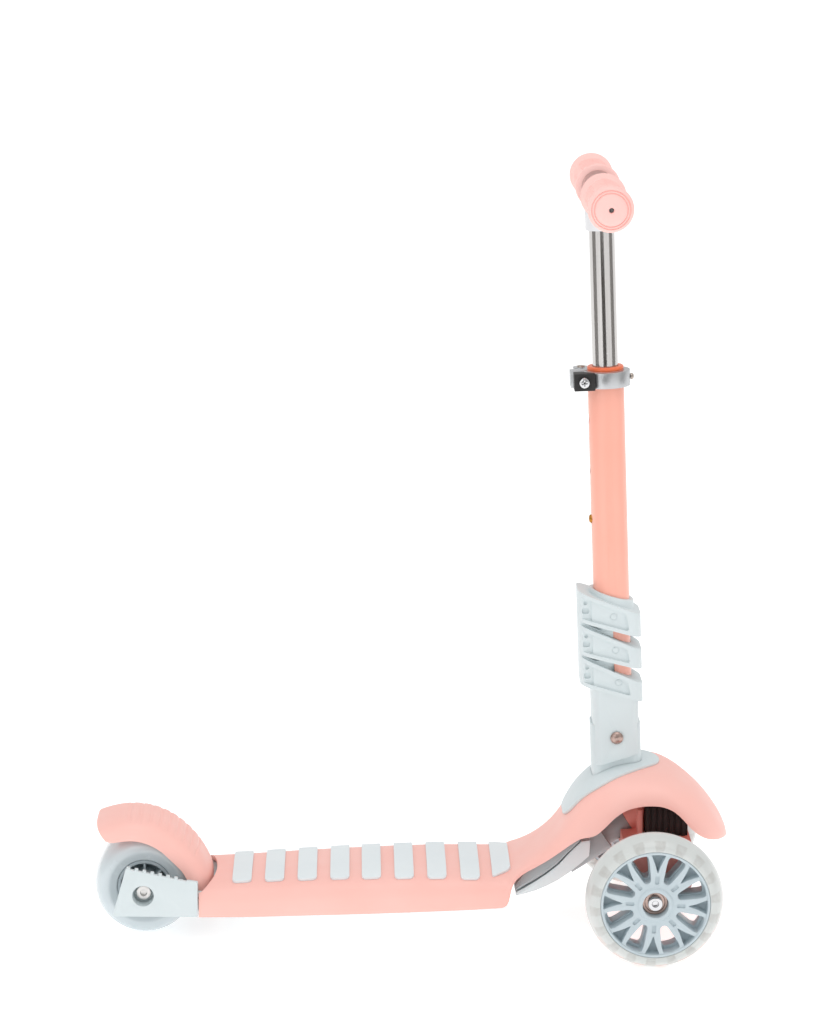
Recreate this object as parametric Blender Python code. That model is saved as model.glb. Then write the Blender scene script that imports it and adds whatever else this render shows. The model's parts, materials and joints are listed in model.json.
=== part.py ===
"""Three-wheeled lean-to-steer kick scooter for a small child, built piece by piece.

Lengths are in millimetres until a mesh is made. +X is forward, +Y is the rider's left, +Z is up, and the
origin lies on the floor below the middle of the scooter.
"""

import math

import bmesh
import bpy
from mathutils import Matrix, Vector

MM = 0.001
GAP = 0.3
SEGMENTS = 20
MERGE = 0.000001

# wheels
FRONT_AXLE_X = 209.75
FRONT_AXLE_Z = 60.0
FRONT_TRACK_HALF = 115.0
FRONT_RADIUS = 60.0
FRONT_HUB_RADIUS = 47.5
FRONT_HALF_WIDTH = 18.0
CORE_HALF_WIDTH = 11.0
CORE_ROOT = 50.0
CORE_TIP = 53.0
CORE_TEETH = 18
HUB_ARMS = 8
BEARING_RADIUS = 11.0
BEARING_WIDTH = 7.0
BEARING_BORE = 4.08
AXLE_RADIUS = 4.0
AXLE_HEAD_RADIUS = 6.4
SOCKET_RADIUS = 2.6
REAR_AXLE_X = -237.25
REAR_RADIUS = 45.5
REAR_CORE_RADIUS = 24.2

# rear bracket and brake
BRACKET_OUTER = 57.0
BRACKET_INNER = 40.5
BRACKET_ROOT_OUTER = 47.0
PIN_X = -186.75
PIN_Z = 40.0
PIN_RADIUS = 2.5
PIN_BORE = 2.58
PIN_HALF_LENGTH = 46.0
FENDER_HALF = 38.5
FENDER_WALL = 4.0
NOTCH_RADIUS = 14.5
NOTCH_Z = 52.0
NOTCH_HALF = 39.6

# deck, with lengths along X measured from the front axle
SHELL = 3.0
STRIP_XS = (-360.0, -331.0, -302.0, -273.0, -245.0, -216.0, -187.0, -157.5, -129.5)
STRIP_NEAR = (43.0, 44.0, 45.5, 47.0, 48.5, 50.0, 51.0, 52.0, 50.0)
STRIP_HALF_WIDTH = 8.5
STRIP_CORNER = 4.0
STRIP_HEIGHT = 2.0
COVER_HALF = 51.5
COVER_THICKNESS = 3.0
COVER_REAR = -360.0
COVER_FRONT = -131.0

# steering column, measured along its own axis from the column bolt
COLUMN_X = 182.25
COLUMN_Z = 189.0
COLUMN_LEAN = math.radians(-2.175)
TUBE_RADIUS = 15.9
TUBE_INNER = 14.2
TUBE_BOTTOM = -60.0
TUBE_TOP = 318.0
INNER_RADIUS = 11.2
INNER_BORE = 9.8
INNER_BOTTOM = 120.0
BAR_HEIGHT = 474.0
BAR_RADIUS = 11.0
TEE_RADIUS = 14.5
GRIP_RADIUS = 15.5
FLANGE_RADIUS = 20.35
GRIP_INNER = 33.0
GRIP_END = 133.0
HEIGHT_HOLES = (185.0, 230.0, 275.0)
HEIGHT_HOLE_RADIUS = 4.4
BUTTON_RADIUS = 3.9
COLUMN_BOLT_S = -10.0

# lean steering
LEAN_ANGLE = math.radians(33.0)
LEAN_Z = 106.0
KINGPIN_RADIUS = 5.0
KINGPIN_BORE = 5.08

# shell stations: distance from the front axle, crown height, edge height, half width, squareness
SHELL_STATIONS = (
    (-398.0, 53.5, 25.0, 55.0, 4.5),
    (-380.0, 54.0, 25.2, 55.8, 4.5),
    (-350.0, 55.2, 25.8, 57.0, 4.5),
    (-310.0, 57.5, 27.0, 58.0, 4.5),
    (-270.0, 59.5, 28.2, 59.0, 4.5),
    (-230.0, 61.0, 29.6, 60.0, 4.5),
    (-190.0, 62.0, 31.0, 60.0, 4.5),
    (-160.0, 62.0, 32.2, 60.0, 4.4),
    (-138.0, 62.0, 33.4, 60.0, 4.2),
    (-130.0, 62.0, 34.0, 60.0, 4.1),
    (-126.0, 62.0, 35.5, 59.6, 4.0),
    (-123.5, 62.2, 40.0, 58.8, 4.0),
    (-121.5, 62.6, 49.0, 57.4, 3.9),
    (-118.5, 63.6, 55.5, 54.5, 3.8),
    (-114.0, 66.0, 59.0, 50.0, 3.7),
    (-108.0, 70.0, 62.0, 46.0, 3.5),
    (-100.0, 75.5, 65.5, 43.2, 3.3),
    (-90.0, 83.5, 71.0, 42.2, 3.1),
    (-82.0, 91.5, 76.5, 42.6, 3.0),
    (-75.0, 101.0, 82.0, 43.8, 2.9),
    (-69.0, 111.0, 87.0, 45.4, 2.8),
    (-60.0, 125.5, 93.5, 48.2, 2.7),
    (-53.0, 134.0, 95.5, 50.4, 2.7),
    (-46.0, 140.5, 98.5, 52.6, 2.6),
    (-39.0, 145.0, 105.5, 54.6, 2.6),
    (-30.0, 149.0, 115.5, 56.8, 2.6),
    (-20.0, 151.6, 122.8, 58.6, 2.6),
    (-8.0, 153.0, 126.4, 59.7, 2.6),
    (2.0, 153.0, 127.0, 60.0, 2.6),
    (12.0, 151.2, 126.0, 60.2, 2.6),
    (22.0, 147.0, 121.5, 60.4, 2.6),
    (30.0, 142.2, 114.0, 60.4, 2.6),
    (37.0, 137.0, 106.0, 60.2, 2.6),
    (44.0, 131.0, 100.0, 59.4, 2.6),
    (51.0, 124.0, 96.2, 57.2, 2.6),
    (57.0, 117.0, 94.2, 53.2, 2.6),
    (62.0, 110.2, 93.0, 48.2, 2.6),
    (66.5, 103.6, 92.0, 40.6, 2.6),
    (70.0, 97.6, 90.4, 30.0, 2.6),
    (72.2, 92.6, 88.0, 18.0, 2.6),
    (73.0, 89.6, 86.2, 9.0, 2.6),
)

# brake fender stations: angle about the rear axle in degrees, crown radius, skirt radius
FENDER_STATIONS = (
    (127.0, 71.0, 56.0),
    (124.0, 70.4, 52.4),
    (117.0, 68.4, 49.4),
    (108.0, 66.2, 47.2),
    (98.0, 64.1, 45.0),
    (87.0, 62.1, 42.4),
    (76.0, 60.2, 40.0),
    (64.0, 58.6, 37.8),
    (52.0, 57.3, 36.2),
    (40.0, 57.0, 36.0),
    (28.0, 57.3, 37.3),
    (17.0, 58.6, 38.6),
    (8.0, 60.0, 39.6),
    (0.0, 60.4, 41.0),
    (-7.0, 59.8, 42.4),
    (-12.0, 58.4, 44.6),
)

for leftover in list(bpy.data.objects):
    bpy.data.objects.remove(leftover, do_unlink=True)

PARTS = bpy.data.collections.new("kick_scooter")
CUTTERS = bpy.data.collections.new("cutters")
bpy.context.scene.collection.children.link(PARTS)
bpy.context.scene.collection.children.link(CUTTERS)


def material(name, colour, roughness, metallic=0.0):
    made = bpy.data.materials.new(name)
    made.use_nodes = True
    shader = made.node_tree.nodes["Principled BSDF"]
    shader.inputs["Base Color"].default_value = (*colour, 1.0)
    shader.inputs["Roughness"].default_value = roughness
    shader.inputs["Metallic"].default_value = metallic
    return made


PINK = material("pink_plastic", (0.98, 0.62, 0.56), 0.5)
SALMON = material("salmon_paint", (0.98, 0.52, 0.43), 0.35)
GREY = material("grey_plastic", (0.68, 0.74, 0.76), 0.5)
HUB_GREY = material("hub_plastic", (0.56, 0.65, 0.7), 0.45)
BLUE_TYRE = material("blue_grey_tyre", (0.5, 0.58, 0.62), 0.3)
CLEAR_TYRE = material("milky_tyre", (0.7, 0.7, 0.69), 0.25)
CORE = material("light_core", (0.55, 0.55, 0.54), 0.5)
STEEL = material("steel", (0.6, 0.58, 0.55), 0.3, 1.0)
CHROME = material("chrome", (0.75, 0.76, 0.78), 0.12, 1.0)
ALUMINIUM = material("aluminium", (0.7, 0.71, 0.73), 0.35, 1.0)
BLACK = material("black_plastic", (0.02, 0.02, 0.02), 0.5)
RUBBER = material("black_rubber", (0.015, 0.012, 0.012), 0.7)
BRASS = material("brass", (0.72, 0.5, 0.2), 0.3, 1.0)
ORANGE = material("orange_shim", (0.95, 0.35, 0.12), 0.3)
GRIP_PINK = material("grip_pink", (0.98, 0.6, 0.56), 0.7)


def place(name, bm, skin, origin=(0.0, 0.0, 0.0), turn=0.0, cutter=False, smooth=False):
    """Make an object from a mesh in millimetres; origin is in millimetres, turn is about Y."""
    bmesh.ops.remove_doubles(bm, verts=bm.verts, dist=MERGE / MM)
    bmesh.ops.recalc_face_normals(bm, faces=bm.faces)
    bmesh.ops.scale(bm, vec=(MM, MM, MM), verts=bm.verts)
    for face in bm.faces:
        face.smooth = smooth
    mesh = bpy.data.meshes.new(name)
    bm.to_mesh(mesh)
    bm.free()
    made = bpy.data.objects.new(name, mesh)
    made.location = Vector(origin) * MM
    made.rotation_euler = (0.0, turn, 0.0)
    if cutter:
        made.hide_render = True
        made.display_type = "WIRE"
        CUTTERS.objects.link(made)
    else:
        mesh.materials.append(skin)
        PARTS.objects.link(made)
    return made


def boolean(target, tool, operation="DIFFERENCE"):
    step = target.modifiers.new(tool.name, "BOOLEAN")
    step.object = tool
    step.operation = operation
    step.solver = "EXACT"


def outline_prism(points, low, high, normal="Y"):
    """Extrude a flat outline: (x, z) points along Y, (x, y) points along Z, or (y, z) points along X."""
    lifts = {
        "X": lambda a, b, c: (c, a, b),
        "Y": lambda a, b, c: (a, c, b),
        "Z": lambda a, b, c: (a, b, c),
    }
    lift = lifts[normal]
    bm = bmesh.new()
    face = bm.faces.new([bm.verts.new(lift(a, b, low)) for a, b in points])
    grown = bmesh.ops.extrude_face_region(bm, geom=[face])
    moved = [item for item in grown["geom"] if isinstance(item, bmesh.types.BMVert)]
    bmesh.ops.translate(bm, verts=moved, vec=lift(0.0, 0.0, high - low))
    return bm


def turned(profile, axis="Z", segments=SEGMENTS):
    """Turn a closed (radius, height) outline about an axis."""
    bm = bmesh.new()
    corners = [bm.verts.new((radius, 0.0, height)) for radius, height in profile]
    edges = [bm.edges.new((corners[i - 1], corners[i])) for i in range(len(corners))]
    bmesh.ops.spin(
        bm, geom=corners + edges, angle=2.0 * math.pi, steps=segments, axis=(0.0, 0.0, 1.0), cent=(0.0, 0.0, 0.0)
    )
    bmesh.ops.remove_doubles(bm, verts=bm.verts, dist=MERGE / MM)
    loose = [edge for edge in bm.edges if not edge.link_faces]
    bmesh.ops.delete(bm, geom=loose, context="EDGES")
    flat = [face for face in bm.faces if face.calc_area() < MERGE]
    bmesh.ops.delete(bm, geom=flat, context="FACES")
    if axis == "Y":
        bmesh.ops.rotate(bm, verts=bm.verts, cent=(0, 0, 0), matrix=Matrix.Rotation(math.radians(-90.0), 3, "X"))
    if axis == "X":
        bmesh.ops.rotate(bm, verts=bm.verts, cent=(0, 0, 0), matrix=Matrix.Rotation(math.radians(90.0), 3, "Y"))
    return bm


def rod(radius, low, high, axis="Z", segments=SEGMENTS):
    return turned([(0.0, low), (radius, low), (radius, high), (0.0, high)], axis, segments)


def tube(outer, inner, low, high, axis="Z", segments=SEGMENTS):
    return turned([(inner, low), (outer, low), (outer, high), (inner, high)], axis, segments)


def shifted(bm, x=0.0, y=0.0, z=0.0):
    bmesh.ops.translate(bm, verts=bm.verts, vec=(x, y, z))
    return bm


def box(x_low, x_high, y_low, y_high, z_low, z_high):
    return outline_prism([(x_low, z_low), (x_high, z_low), (x_high, z_high), (x_low, z_high)], y_low, y_high)


def rounded(half_x, half_y, corner, steps=5, centre=0.0):
    """A rounded rectangle outline."""
    points = []
    for side, (sx, sy) in enumerate(((1, 1), (-1, 1), (-1, -1), (1, -1))):
        for step in range(steps + 1):
            angle = math.radians(90.0 * side + 90.0 * step / steps)
            x = centre + sx * (half_x - corner) + corner * math.cos(angle)
            points.append((x, sy * (half_y - corner) + corner * math.sin(angle)))
    return points


def mix(table, x):
    """Straight-line reading of a table of (x, value, ...) rows."""
    if x <= table[0][0]:
        return table[0][1:]
    for before, after in zip(table, table[1:]):
        if x <= after[0]:
            share = (x - before[0]) / (after[0] - before[0])
            return tuple(a + (b - a) * share for a, b in zip(before[1:], after[1:]))
    return table[-1][1:]


def bow(half_width, rise, squareness, steps):
    """Points of a rounded arch from one edge over the crown to the other, as (across, up)."""
    points = []
    for step in range(steps + 1):
        angle = math.pi * (step / steps - 0.5)
        across = math.copysign(abs(math.sin(angle)) ** (2.0 / squareness), angle)
        up = max(math.cos(angle), 0.0) ** (2.0 / squareness)
        points.append((half_width * across, rise * up))
    return points


def loft(rings):
    """Skin a list of equal closed rings and close both ends."""
    bm = bmesh.new()
    rows = [[bm.verts.new(point) for point in ring] for ring in rings]
    for row, after in zip(rows, rows[1:]):
        for i in range(len(row)):
            bm.faces.new((row[i - 1], row[i], after[i], after[i - 1]))
    bm.faces.new(rows[0])
    bm.faces.new(list(reversed(rows[-1])))
    return bm


def arch_ring(half_width, rise, wall, squareness, steps=12):
    """Closed outline of an arch with a wall, as (across, up) from its edge line."""
    outer = bow(half_width, rise, squareness, steps)
    inner = bow(half_width - wall, rise - min(wall, 0.6 * rise), squareness, steps)
    return outer + list(reversed(inner))


def shell_height(x, y):
    """Height of the shell's outer face at a distance x from the front axle and y from the middle."""
    crown, edge, half, squareness = mix(SHELL_STATIONS, x)
    across = min(abs(y) / half, 1.0)
    return edge + (crown - edge) * (1.0 - across ** squareness) ** (1.0 / squareness)


def shell_normal(x, y):
    step = 0.5
    slope_x = (shell_height(x + step, y) - shell_height(x - step, y)) / (2.0 * step)
    slope_y = (shell_height(x, y + step) - shell_height(x, y - step)) / (2.0 * step)
    return Vector((-slope_x, -slope_y, 1.0)).normalized()


def shell_patch(outline_half, x_rear, x_front, low, high, columns, rows):
    """A pad that follows the shell: outline_half(x) gives its half width, low and high its two offsets."""
    lower, upper = [], []
    for column in range(columns + 1):
        x = x_rear + (x_front - x_rear) * column / columns
        half = outline_half(x)
        for row in range(rows + 1):
            y = half * math.sin(math.pi * (row / rows - 0.5))
            base = Vector((x, y, shell_height(x, y)))
            normal = shell_normal(x, y)
            lower.append(base + normal * low)
            upper.append(base + normal * high)
    bm = bmesh.new()
    bottom = [bm.verts.new(point + Vector((FRONT_AXLE_X, 0.0, 0.0))) for point in lower]
    top = [bm.verts.new(point + Vector((FRONT_AXLE_X, 0.0, 0.0))) for point in upper]
    wide = rows + 1
    for column in range(columns):
        for row in range(rows):
            a = column * wide + row
            corners = (a, a + wide, a + wide + 1, a + 1)
            bm.faces.new([top[i] for i in corners])
            bm.faces.new([bottom[i] for i in reversed(corners)])
    rim = [row for row in range(wide)]
    rim += [column * wide + rows for column in range(1, columns + 1)]
    rim += [columns * wide + row for row in range(rows - 1, -1, -1)]
    rim += [column * wide for column in range(columns - 1, 0, -1)]
    for i in range(len(rim)):
        bm.faces.new((bottom[rim[i - 1]], bottom[rim[i]], top[rim[i]], top[rim[i - 1]]))
    return bm


# ---- deck shell ----------------------------------------
rings = []
for x, crown, edge, half, squareness in SHELL_STATIONS:
    ring = arch_ring(half, crown - edge, SHELL, squareness)
    rings.append([(FRONT_AXLE_X + x, y, edge + z) for y, z in ring])
deck_shell = place("deck_shell", loft(rings), PINK, smooth=True)

notch = rod(NOTCH_RADIUS, -NOTCH_HALF, NOTCH_HALF, "Y")
boolean(deck_shell, place("deck_notch", notch, None, (PIN_X, 0.0, NOTCH_Z), cutter=True))

STRIP_LOW = 0.5
STRIP_HIGH = STRIP_LOW + STRIP_HEIGHT


def strip_half(index):
    """Half length of a grip strip along its width; the front one is cut across its front corners."""
    centre = STRIP_XS[index]
    length = STRIP_NEAR[index]
    last = index == len(STRIP_XS) - 1

    def half(x):
        inset = max(abs(x - centre) - (STRIP_HALF_WIDTH - STRIP_CORNER), 0.0)
        trim = STRIP_CORNER - math.sqrt(max(STRIP_CORNER**2 - inset**2, 0.0))
        slant = (x - centre + STRIP_HALF_WIDTH) * 0.75 if last else 0.0
        return length - trim - slant

    return half


for index, centre in enumerate(STRIP_XS):
    pad = shell_patch(
        strip_half(index), centre - STRIP_HALF_WIDTH, centre + STRIP_HALF_WIDTH, STRIP_LOW, STRIP_HIGH, 4, 8
    )
    place(f"grip_strip_{index + 1}", pad, GREY)

# bottom plate between the side walls
rear_z = mix(SHELL_STATIONS, COVER_REAR)[1] + 1.0
front_z = mix(SHELL_STATIONS, COVER_FRONT)[1] + 1.0
plate = outline_prism(
    [
        (FRONT_AXLE_X + COVER_REAR, rear_z),
        (FRONT_AXLE_X + COVER_FRONT, front_z),
        (FRONT_AXLE_X + COVER_FRONT, front_z + COVER_THICKNESS),
        (FRONT_AXLE_X + COVER_REAR, rear_z + COVER_THICKNESS),
    ],
    -COVER_HALF,
    COVER_HALF,
)
place("deck_bottom_cover", plate, GREY)

# saddle plate round the foot of the column: half widths along its length, from its rear tip to its front
SADDLE_REAR = -72.0
SADDLE_FRONT = 12.0
SADDLE_HALVES = (
    (-72.0, 15.0),
    (-69.0, 22.0),
    (-60.0, 29.0),
    (-48.0, 34.0),
    (-34.0, 36.5),
    (-20.0, 35.0),
    (-8.0, 30.0),
    (2.0, 23.0),
    (9.0, 14.0),
    (12.0, 4.0),
)
SADDLE_LOW = 0.5
SADDLE_HIGH = 2.4
POST_HALF_X = 22.0
POST_HALF_Y = 17.5
POST_CORNER = 8.0
POST_LOW = -72.0
POST_HIGH = 1.0
CHEEK_HALF_Y = 22.0
CHEEK_INNER = 18.0
COLUMN_HALF_X = 20.5
CHEEK_LOW = -35.0

saddle = place(
    "saddle_cover",
    shell_patch(lambda x: mix(SADDLE_HALVES, x)[0], SADDLE_REAR, SADDLE_FRONT, SADDLE_LOW, SADDLE_HIGH, 12, 6),
    GREY,
)


def on_column(name, bm, skin, cutter=False, smooth=False):
    return place(name, bm, skin, (COLUMN_X, 0.0, COLUMN_Z), COLUMN_LEAN, cutter, smooth)


post_hole = on_column(
    "post_hole",
    outline_prism(rounded(POST_HALF_X + GAP, POST_HALF_Y + GAP, POST_CORNER), POST_LOW - 10.0, 0.0, "Z"),
    None,
    cutter=True,
)
boolean(saddle, post_hole)
boolean(deck_shell, post_hole)

bolt_hole = on_column(
    "column_bolt_hole", shifted(rod(3.1, -40.0, 40.0, "Y"), z=COLUMN_BOLT_S), None, cutter=True
)
tube_hole = on_column(
    "tube_hole", rod(TUBE_RADIUS + GAP, TUBE_BOTTOM - 2.0, 200.0, segments=32), None, cutter=True
)

post = on_column(
    "column_post",
    outline_prism(rounded(POST_HALF_X, POST_HALF_Y, POST_CORNER), POST_LOW, POST_HIGH, "Z"),
    GREY,
)
boolean(post, tube_hole)
boolean(post, bolt_hole)

# ---- sleeve of three slanted bands over the column's foot ----------------------------------------
SLEEVE_REAR = -30.4
SLEEVE_FRONT = 24.6
SLEEVE_HALF_Y = 24.0
BAND_REARS = ((97.0, 124.0), (67.0, 94.0), (39.0, 65.0))
BAND_FRONTS = ((80.0, 101.0), (51.0, 68.5), (21.0, 38.0))
WEDGE_START = -26.0


def at_slope(rear, front, x):
    return rear + (front - rear) * (x - SLEEVE_REAR) / (SLEEVE_FRONT - SLEEVE_REAR)


def band(index):
    (rear_low, rear_high), (front_low, front_high) = BAND_REARS[index], BAND_FRONTS[index]
    return [
        (SLEEVE_REAR, rear_low),
        (SLEEVE_FRONT, front_low),
        (SLEEVE_FRONT, front_high),
        (SLEEVE_REAR, rear_high),
    ]


sleeve_side = [
    (SLEEVE_REAR, BAND_REARS[2][0]),
    (SLEEVE_FRONT, BAND_FRONTS[2][0]),
    (SLEEVE_FRONT, BAND_FRONTS[0][1]),
    (SLEEVE_REAR, BAND_REARS[0][1]),
]
sleeve = on_column("column_sleeve", outline_prism(sleeve_side, -SLEEVE_HALF_Y, SLEEVE_HALF_Y), GREY)
sleeve_plan = on_column(
    "sleeve_plan",
    outline_prism(
        rounded((SLEEVE_FRONT - SLEEVE_REAR) / 2.0, SLEEVE_HALF_Y, 12.0, centre=(SLEEVE_FRONT + SLEEVE_REAR) / 2.0),
        -60.0,
        160.0,
        "Z",
    ),
    None,
    cutter=True,
)
boolean(sleeve, sleeve_plan, "INTERSECT")
for index in (0, 1):
    rear = BAND_REARS[index][0]
    lower = BAND_REARS[index + 1][1]
    wedge = [
        (WEDGE_START, at_slope(rear, BAND_FRONTS[index][0], WEDGE_START) - 1.0),
        (SLEEVE_FRONT + 5.0, at_slope(lower, BAND_FRONTS[index + 1][1], SLEEVE_FRONT + 5.0)),
        (SLEEVE_FRONT + 5.0, at_slope(rear, BAND_FRONTS[index][0], SLEEVE_FRONT + 5.0)),
    ]
    gap = on_column(f"band_gap_{index + 1}", outline_prism(wedge, -40.0, 40.0), None, cutter=True)
    boolean(sleeve, gap)
foot = on_column(
    "sleeve_foot",
    outline_prism(rounded(COLUMN_HALF_X, CHEEK_HALF_Y, 9.0), CHEEK_LOW, 60.0, "Z"),
    None,
    cutter=True,
)
boolean(sleeve, foot, "UNION")
lip = on_column("sleeve_lip", tube(19.5, 15.0, 80.0, 128.0), None, cutter=True)
lip_top = on_column(
    "sleeve_lip_top",
    outline_prism([(-40.0, 131.0), (40.0, 104.0), (40.0, 160.0), (-40.0, 160.0)], -40.0, 40.0),
    None,
    cutter=True,
)
boolean(lip, lip_top)
boolean(sleeve, lip, "UNION")
fork = on_column(
    "sleeve_fork",
    box(-40.0, 40.0, -CHEEK_INNER, CHEEK_INNER, CHEEK_LOW - 20.0, POST_HIGH + GAP),
    None,
    cutter=True,
)
boolean(sleeve, fork)
foot_trim = on_column(
    "sleeve_foot_trim",
    outline_prism([(-40.0, -60.0), (40.0, -60.0), (40.0, -20.0), (-40.0, -42.0)], -40.0, 40.0),
    None,
    cutter=True,
)
boolean(sleeve, foot_trim)
boolean(sleeve, tube_hole)
boolean(sleeve, bolt_hole)

# ---- outer tube, height holes, bolt ----------------------------------------
outer_tube = on_column(
    "outer_tube", tube(TUBE_RADIUS, TUBE_INNER, TUBE_BOTTOM, TUBE_TOP, segments=32), SALMON, smooth=True
)
boolean(outer_tube, bolt_hole)
for index, height in enumerate(HEIGHT_HOLES):
    hole = shifted(rod(HEIGHT_HOLE_RADIUS, -25.0, -5.0, "X"), z=height)
    boolean(outer_tube, on_column(f"height_hole_{index + 1}", hole, None, cutter=True))

BOLT_HEAD = 5.7
bolt = turned(
    [(0.0, -20.5), (3.0, -20.5), (3.0, 22.3), (BOLT_HEAD, 22.3), (BOLT_HEAD, 23.6), (3.4, 25.4), (0.0, 25.8)],
    "Y",
)
bmesh.ops.rotate(bolt, verts=bolt.verts, cent=(0, 0, 0), matrix=Matrix.Rotation(math.pi, 3, "Z"))
on_column("column_bolt", shifted(bolt, z=COLUMN_BOLT_S), STEEL)

# ---- rear bracket, wheel and brake ----------------------------------------
ARM_TOP_REAR = (-461.0, 73.0)
ARM_TOP_FRONT = (-398.9, 59.0)
ARM_LOW_FRONT = (-398.9, 26.0)
ARM_LOW_REAR = (-474.0, 27.0)
RACK_TEETH = 7
RACK_DEPTH = 2.4
RACK_PITCH = 7.2
RACK_START = 6.0
COUNTERBORE = 9.6
COUNTERBORE_FLOOR = 41.5
REAR_BOSS_INNER = 34.3
REAR_BOSS_RADIUS = 13.0
ROOT_REAR = -410.0
ROOT_TOP = 45.0
ROOT_LOW = 29.5
TONGUE_REAR = -381.5
COUPLER_FRONT = -364.5


def ahead(points):
    """Move (distance from the front axle, height) points into the scooter's own frame."""
    return [(FRONT_AXLE_X + x, z) for x, z in points]


def rack_edge():
    """The arm's sloping top edge with its row of square teeth, from rear to front."""
    points = [ARM_TOP_REAR]
    for tooth in range(RACK_TEETH):
        start = ARM_TOP_REAR[0] + RACK_START + RACK_PITCH * tooth
        end = start + RACK_PITCH / 2
        for x, drop in ((start, 0.0), (start, RACK_DEPTH), (end, RACK_DEPTH), (end, 0.0)):
            share = (x - ARM_TOP_REAR[0]) / (ARM_TOP_FRONT[0] - ARM_TOP_REAR[0])
            points.append((x, ARM_TOP_REAR[1] + (ARM_TOP_FRONT[1] - ARM_TOP_REAR[1]) * share - drop))
    return points + [ARM_TOP_FRONT]


arm_side = ahead([ARM_LOW_REAR, ARM_LOW_FRONT] + list(reversed(rack_edge())))
bracket = place("rear_bracket", outline_prism(arm_side, BRACKET_INNER, BRACKET_OUTER), GREY)
other_arm = place("other_arm", outline_prism(arm_side, -BRACKET_OUTER, -BRACKET_INNER), None, cutter=True)
boolean(bracket, other_arm, "UNION")
for side in (1, -1):
    root = box(
        FRONT_AXLE_X + ROOT_REAR,
        FRONT_AXLE_X + COUPLER_FRONT,
        min(side * BRACKET_INNER, side * BRACKET_ROOT_OUTER),
        max(side * BRACKET_INNER, side * BRACKET_ROOT_OUTER),
        ROOT_LOW,
        ROOT_TOP,
    )
    boolean(bracket, place(f"bracket_root_{side}", root, None, cutter=True), "UNION")
    low, high = sorted((side * REAR_BOSS_INNER, side * (BRACKET_INNER + 2.0)))
    boss = shifted(rod(REAR_BOSS_RADIUS, low, high, "Y"), REAR_AXLE_X, 0.0, REAR_RADIUS)
    boolean(bracket, place(f"axle_boss_{side}", boss, None, cutter=True), "UNION")
tongue = box(
    FRONT_AXLE_X + TONGUE_REAR,
    FRONT_AXLE_X + COUPLER_FRONT,
    -BRACKET_INNER - 1.0,
    BRACKET_INNER + 1.0,
    ROOT_LOW,
    ROOT_TOP,
)
boolean(bracket, place("bracket_tongue", tongue, None, cutter=True), "UNION")
for side in (1, -1):
    low, high = sorted((side * COUNTERBORE_FLOOR, side * 70.0))
    recess = shifted(rod(COUNTERBORE, low, high, "Y"), REAR_AXLE_X, 0.0, REAR_RADIUS)
    boolean(bracket, place(f"axle_recess_{side}", recess, None, cutter=True))
axle_hole = shifted(rod(AXLE_RADIUS + GAP, -70.0, 70.0, "Y"), REAR_AXLE_X, 0, REAR_RADIUS)
boolean(bracket, place("rear_axle_hole", axle_hole, None, cutter=True))
pin_hole = shifted(rod(PIN_BORE, -48.0, 48.0, "Y", 24), PIN_X, 0, PIN_Z)
pin_hole = place("brake_pin_hole", pin_hole, None, cutter=True)
boolean(bracket, pin_hole)

rear_axle = turned(
    [
        (0.0, -41.0),
        (AXLE_RADIUS, -41.0),
        (AXLE_RADIUS, 41.8),
        (6.9, 41.8),
        (6.9, 46.6),
        (6.3, 47.2),
        (3.0, 47.2),
        (3.0, 43.8),
        (0.0, 43.8),
    ],
    "Y",
)
bmesh.ops.rotate(rear_axle, verts=rear_axle.verts, cent=(0, 0, 0), matrix=Matrix.Rotation(math.pi, 3, "Z"))
place("rear_axle_bolt", rear_axle, STEEL, (REAR_AXLE_X, 0.0, REAR_RADIUS))
rear_nut = turned(
    [(0.0, 41.8), (6.9, 41.8), (6.9, 46.6), (6.3, 47.2), (3.0, 47.2), (3.0, 43.8), (0.0, 43.8)], "Y"
)
place("rear_axle_nut", rear_nut, STEEL, (REAR_AXLE_X, 0.0, REAR_RADIUS))

rear_tyre_profile = [
    (REAR_CORE_RADIUS + GAP, -30.0),
    (34.0, -32.0),
    (40.0, -29.6),
    (43.6, -23.0),
    (REAR_RADIUS, -8.0),
    (REAR_RADIUS, 8.0),
    (43.6, 23.0),
    (40.0, 29.6),
    (34.0, 32.0),
    (REAR_CORE_RADIUS + GAP, 30.0),
]
place("rear_tyre", turned(rear_tyre_profile, "Y", 32), BLUE_TYRE, (REAR_AXLE_X, 0.0, REAR_RADIUS), smooth=True)
rear_core_profile = [
    (AXLE_RADIUS + 1.0, -21.0),
    (AXLE_RADIUS + 1.0, 21.0),
    (BEARING_RADIUS + GAP, 21.0),
    (BEARING_RADIUS + GAP, 29.5),
    (13.5, 29.5),
    (13.5, 10.0),
    (21.5, 10.0),
    (21.5, 29.5),
    (REAR_CORE_RADIUS, 29.5),
    (REAR_CORE_RADIUS, -29.5),
    (21.5, -29.5),
    (21.5, -10.0),
    (13.5, -10.0),
    (13.5, -29.5),
    (BEARING_RADIUS + GAP, -29.5),
    (BEARING_RADIUS + GAP, -21.0),
]
rear_core = place("rear_core", turned(rear_core_profile, "Y", 24), HUB_GREY, (REAR_AXLE_X, 0.0, REAR_RADIUS))
REAR_RIBS = 8
ribs = bmesh.new()
for rib in range(REAR_RIBS):
    for low, high in ((9.0, 28.5), (-28.5, -9.0)):
        made = outline_prism([(12.5, -0.8), (22.5, -0.8), (22.5, 0.8), (12.5, 0.8)], low, high)
        bmesh.ops.rotate(
            made, verts=made.verts, cent=(0, 0, 0), matrix=Matrix.Rotation(2.0 * math.pi * rib / REAR_RIBS, 3, "Y")
        )
        spare = bpy.data.meshes.new("rib")
        made.to_mesh(spare)
        made.free()
        ribs.from_mesh(spare)
        bpy.data.meshes.remove(spare)
boolean(rear_core, place("rear_core_ribs", ribs, None, (REAR_AXLE_X, 0.0, REAR_RADIUS), cutter=True), "UNION")


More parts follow.
